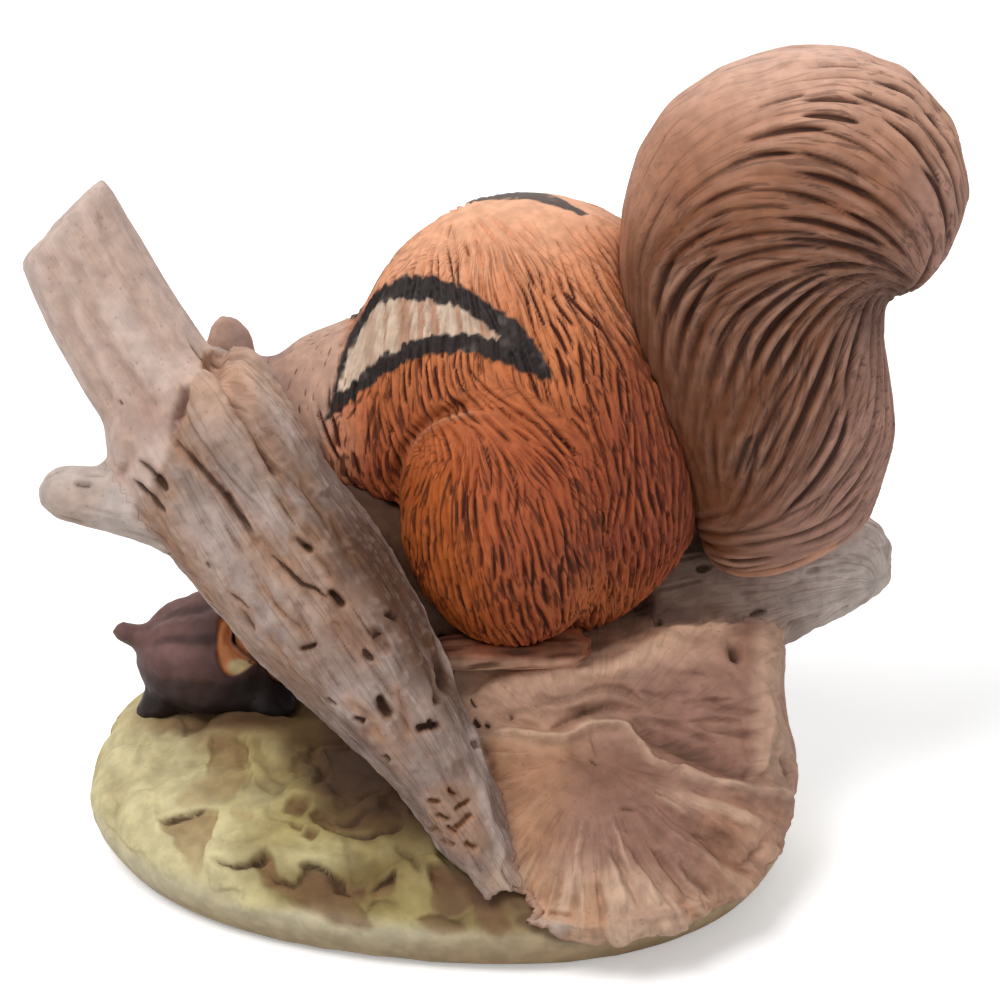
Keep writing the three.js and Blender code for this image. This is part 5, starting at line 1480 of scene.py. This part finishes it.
husk = blank("nut_husk_piece", ["nut_husk"], 0.85, 3, swell=0.15)
points, normals = surface(husk)
spots = seen(points)
seen_x, seen_y = spots.T
low, high = points.min(axis=0), points.max(axis=0)
middle = (low + high) / 2
turned = np.arctan2(points[:, 2] - middle[2], points[:, 1] - middle[1])
ribs = np.cos(9 * turned + 1.5 * cloud(points, 5, 61))
body = ramp(points[:, 0], low[0] + 4, low[0] + 9)
split = ramp(-patch_reach(spots, curve_through(SPLIT + SPLIT[:1])), -1, 1.5)
split = split * ramp(-(normals @ VIEW_AIM), 0.1, 0.3)
height = body * (0.28 * ribs * (1 - split) + 0.3 * cloud(points, 3.2, 62)) + 0.1 * cloud(points, 1.2, 63)
height -= 0.7 * split
put(husk, points + normals * height[:, None])
lit = ramp(points[:, 2], middle[2] - 3, high[2] - 2) * (0.5 + 0.45 * ramp(cloud(points, 5, 64), -0.4, 0.4))
under_split = ramp(seen_y - 0.3 * (260 - seen_x).clip(0, 60), 655, 680) * ramp(seen_x, 205, 240)
paint = painted(points, HUSK_BROWN, [
    (HUSK_MAUVE, lit * (1 - 0.6 * ramp(seen_x, 170, 215))),
    (HUSK_MAUVE, blot(spots, [165, 650], [22, 14]) * 0.6),
    (HUSK_BLACK, ramp(-points[:, 2], -middle[2] - 1, -low[2] - 4) * 0.9),
    (HUSK_BLACK, body * ramp(-ribs, 0.3, 1) * 0.5),
    (HUSK_BLACK, under_split * 0.85),
    (NUT_ORANGE, split),
    (NUT_SCAR, split * (1 - ramp(scar_reach(spots), 6, 12))),
])
keep_paint(husk, paint)
shell = bisque("husk bisque", mottle=2.0, wash=colour(30, 24, 24), speck=0.05, roughness=0.55)
hand_in(husk, shell, "husk_bisque", "nut_husk")

nut = blank("nut_piece", ["nut"], 0.7, 6, levels=1, swell=0.1)
points, normals = surface(nut)
spots = seen(points)
seen_x, seen_y = spots.T
height = 0.08 * cloud(points, 3, 65)
put(nut, points + normals * height[:, None])
paint = painted(points, NUT_ORANGE, [
    (FUR_RUST, ramp(cloud(points, 4, 66), 0.1, 0.6) * 0.5),
    (NUT_SCAR, 1 - ramp(scar_reach(spots), 6, 12)),
])
keep_paint(nut, paint)
kernel = bisque("nut bisque", mottle=2.0, wash=colour(120, 66, 38), speck=0.05, roughness=0.5)
hand_in(nut, kernel, "nut_bisque", "nut")

# Studio
# A plain pale floor that keeps the figurine's shadow, soft lamps and the photograph's camera. None of
# it belongs to the figurine.

PAPER_GREY = 0.75
PAPER_GLOW = 0.3
SKY_GREY = 0.42


def lamp(name, place, aim, size, power):
    """A soft square lamp turned towards a point"""
    light = bpy.data.lights.new(name, "AREA")
    light.energy = power
    light.size = size
    holder = bpy.data.objects.new(name, light)
    bpy.context.collection.objects.link(holder)
    holder.location = place
    way = np.array(aim) - np.array(place)
    pitch = math.atan2(math.hypot(way[0], way[1]), -way[2])
    holder.rotation_euler = (pitch, 0, math.atan2(way[1], way[0]) - math.pi / 2)


def white_rays(tree):
    """A share that is 1 for rays by which the camera sees the backdrop, straight or mirrored"""
    rays = tree.nodes.new("ShaderNodeLightPath").outputs
    straight_or_mirrored = maths_node(tree, "MAXIMUM", rays["Is Camera Ray"], rays["Is Glossy Ray"])
    return maths_node(tree, "MAXIMUM", straight_or_mirrored, rays["Is Transmission Ray"])


def white_to_camera(tree, socket, plain):
    """Gives a colour socket a plain grey for light on the object and white for the backdrop's look"""
    mix = tree.nodes.new("ShaderNodeMix")
    mix.data_type = "RGBA"
    mix.inputs["A"].default_value = (plain, plain, plain, 1)
    mix.inputs["B"].default_value = (1, 1, 1, 1)
    tree.links.new(white_rays(tree), mix.inputs["Factor"])
    tree.links.new(mix.outputs["Result"], socket)


bpy.ops.mesh.primitive_plane_add(size=6, location=(0, 0, 0))
floor = bpy.context.object
floor.name = "studio_floor"
paper = bpy.data.materials.new("studio paper")
paper.use_nodes = True
paper_shader = paper.node_tree.nodes["Principled BSDF"]
paper_shader.inputs["Roughness"].default_value = 0.9
paper_shader.inputs["Specular IOR Level"].default_value = 0
white_to_camera(paper.node_tree, paper_shader.inputs["Base Color"], PAPER_GREY)
glow = maths_node(paper.node_tree, "MULTIPLY", white_rays(paper.node_tree), PAPER_GLOW)
paper_shader.inputs["Emission Color"].default_value = (1, 1, 1, 1)
paper.node_tree.links.new(glow, paper_shader.inputs["Emission Strength"])
floor.data.materials.append(paper)

world = bpy.data.worlds.new("studio")
bpy.context.scene.world = world
world.use_nodes = True
sky = world.node_tree.nodes["Background"]
white_to_camera(world.node_tree, sky.inputs["Color"], SKY_GREY)

lamp("key", (-0.35, -0.4, 0.85), (0, 0, 0.05), 0.4, 5.5)
lamp("fill", (0.6, -0.5, 0.35), (0, 0, 0.05), 0.6, 0.9)
lamp("back", (0.1, 0.7, 0.6), (0, 0, 0.05), 0.6, 2.2)

camera = bpy.data.objects.new("camera", bpy.data.cameras.new("camera"))
bpy.context.collection.objects.link(camera)
camera.location = VIEW_EYE / 1000
camera.rotation_euler = (math.pi / 2 - VIEW_TILT, 0, 0)
camera.data.sensor_width = 36
camera.data.lens = 36 * VIEW_SCALE / 1000
camera.data.clip_start = 0.01
bpy.context.scene.camera = camera
bpy.context.scene.view_settings.view_transform = "Standard"
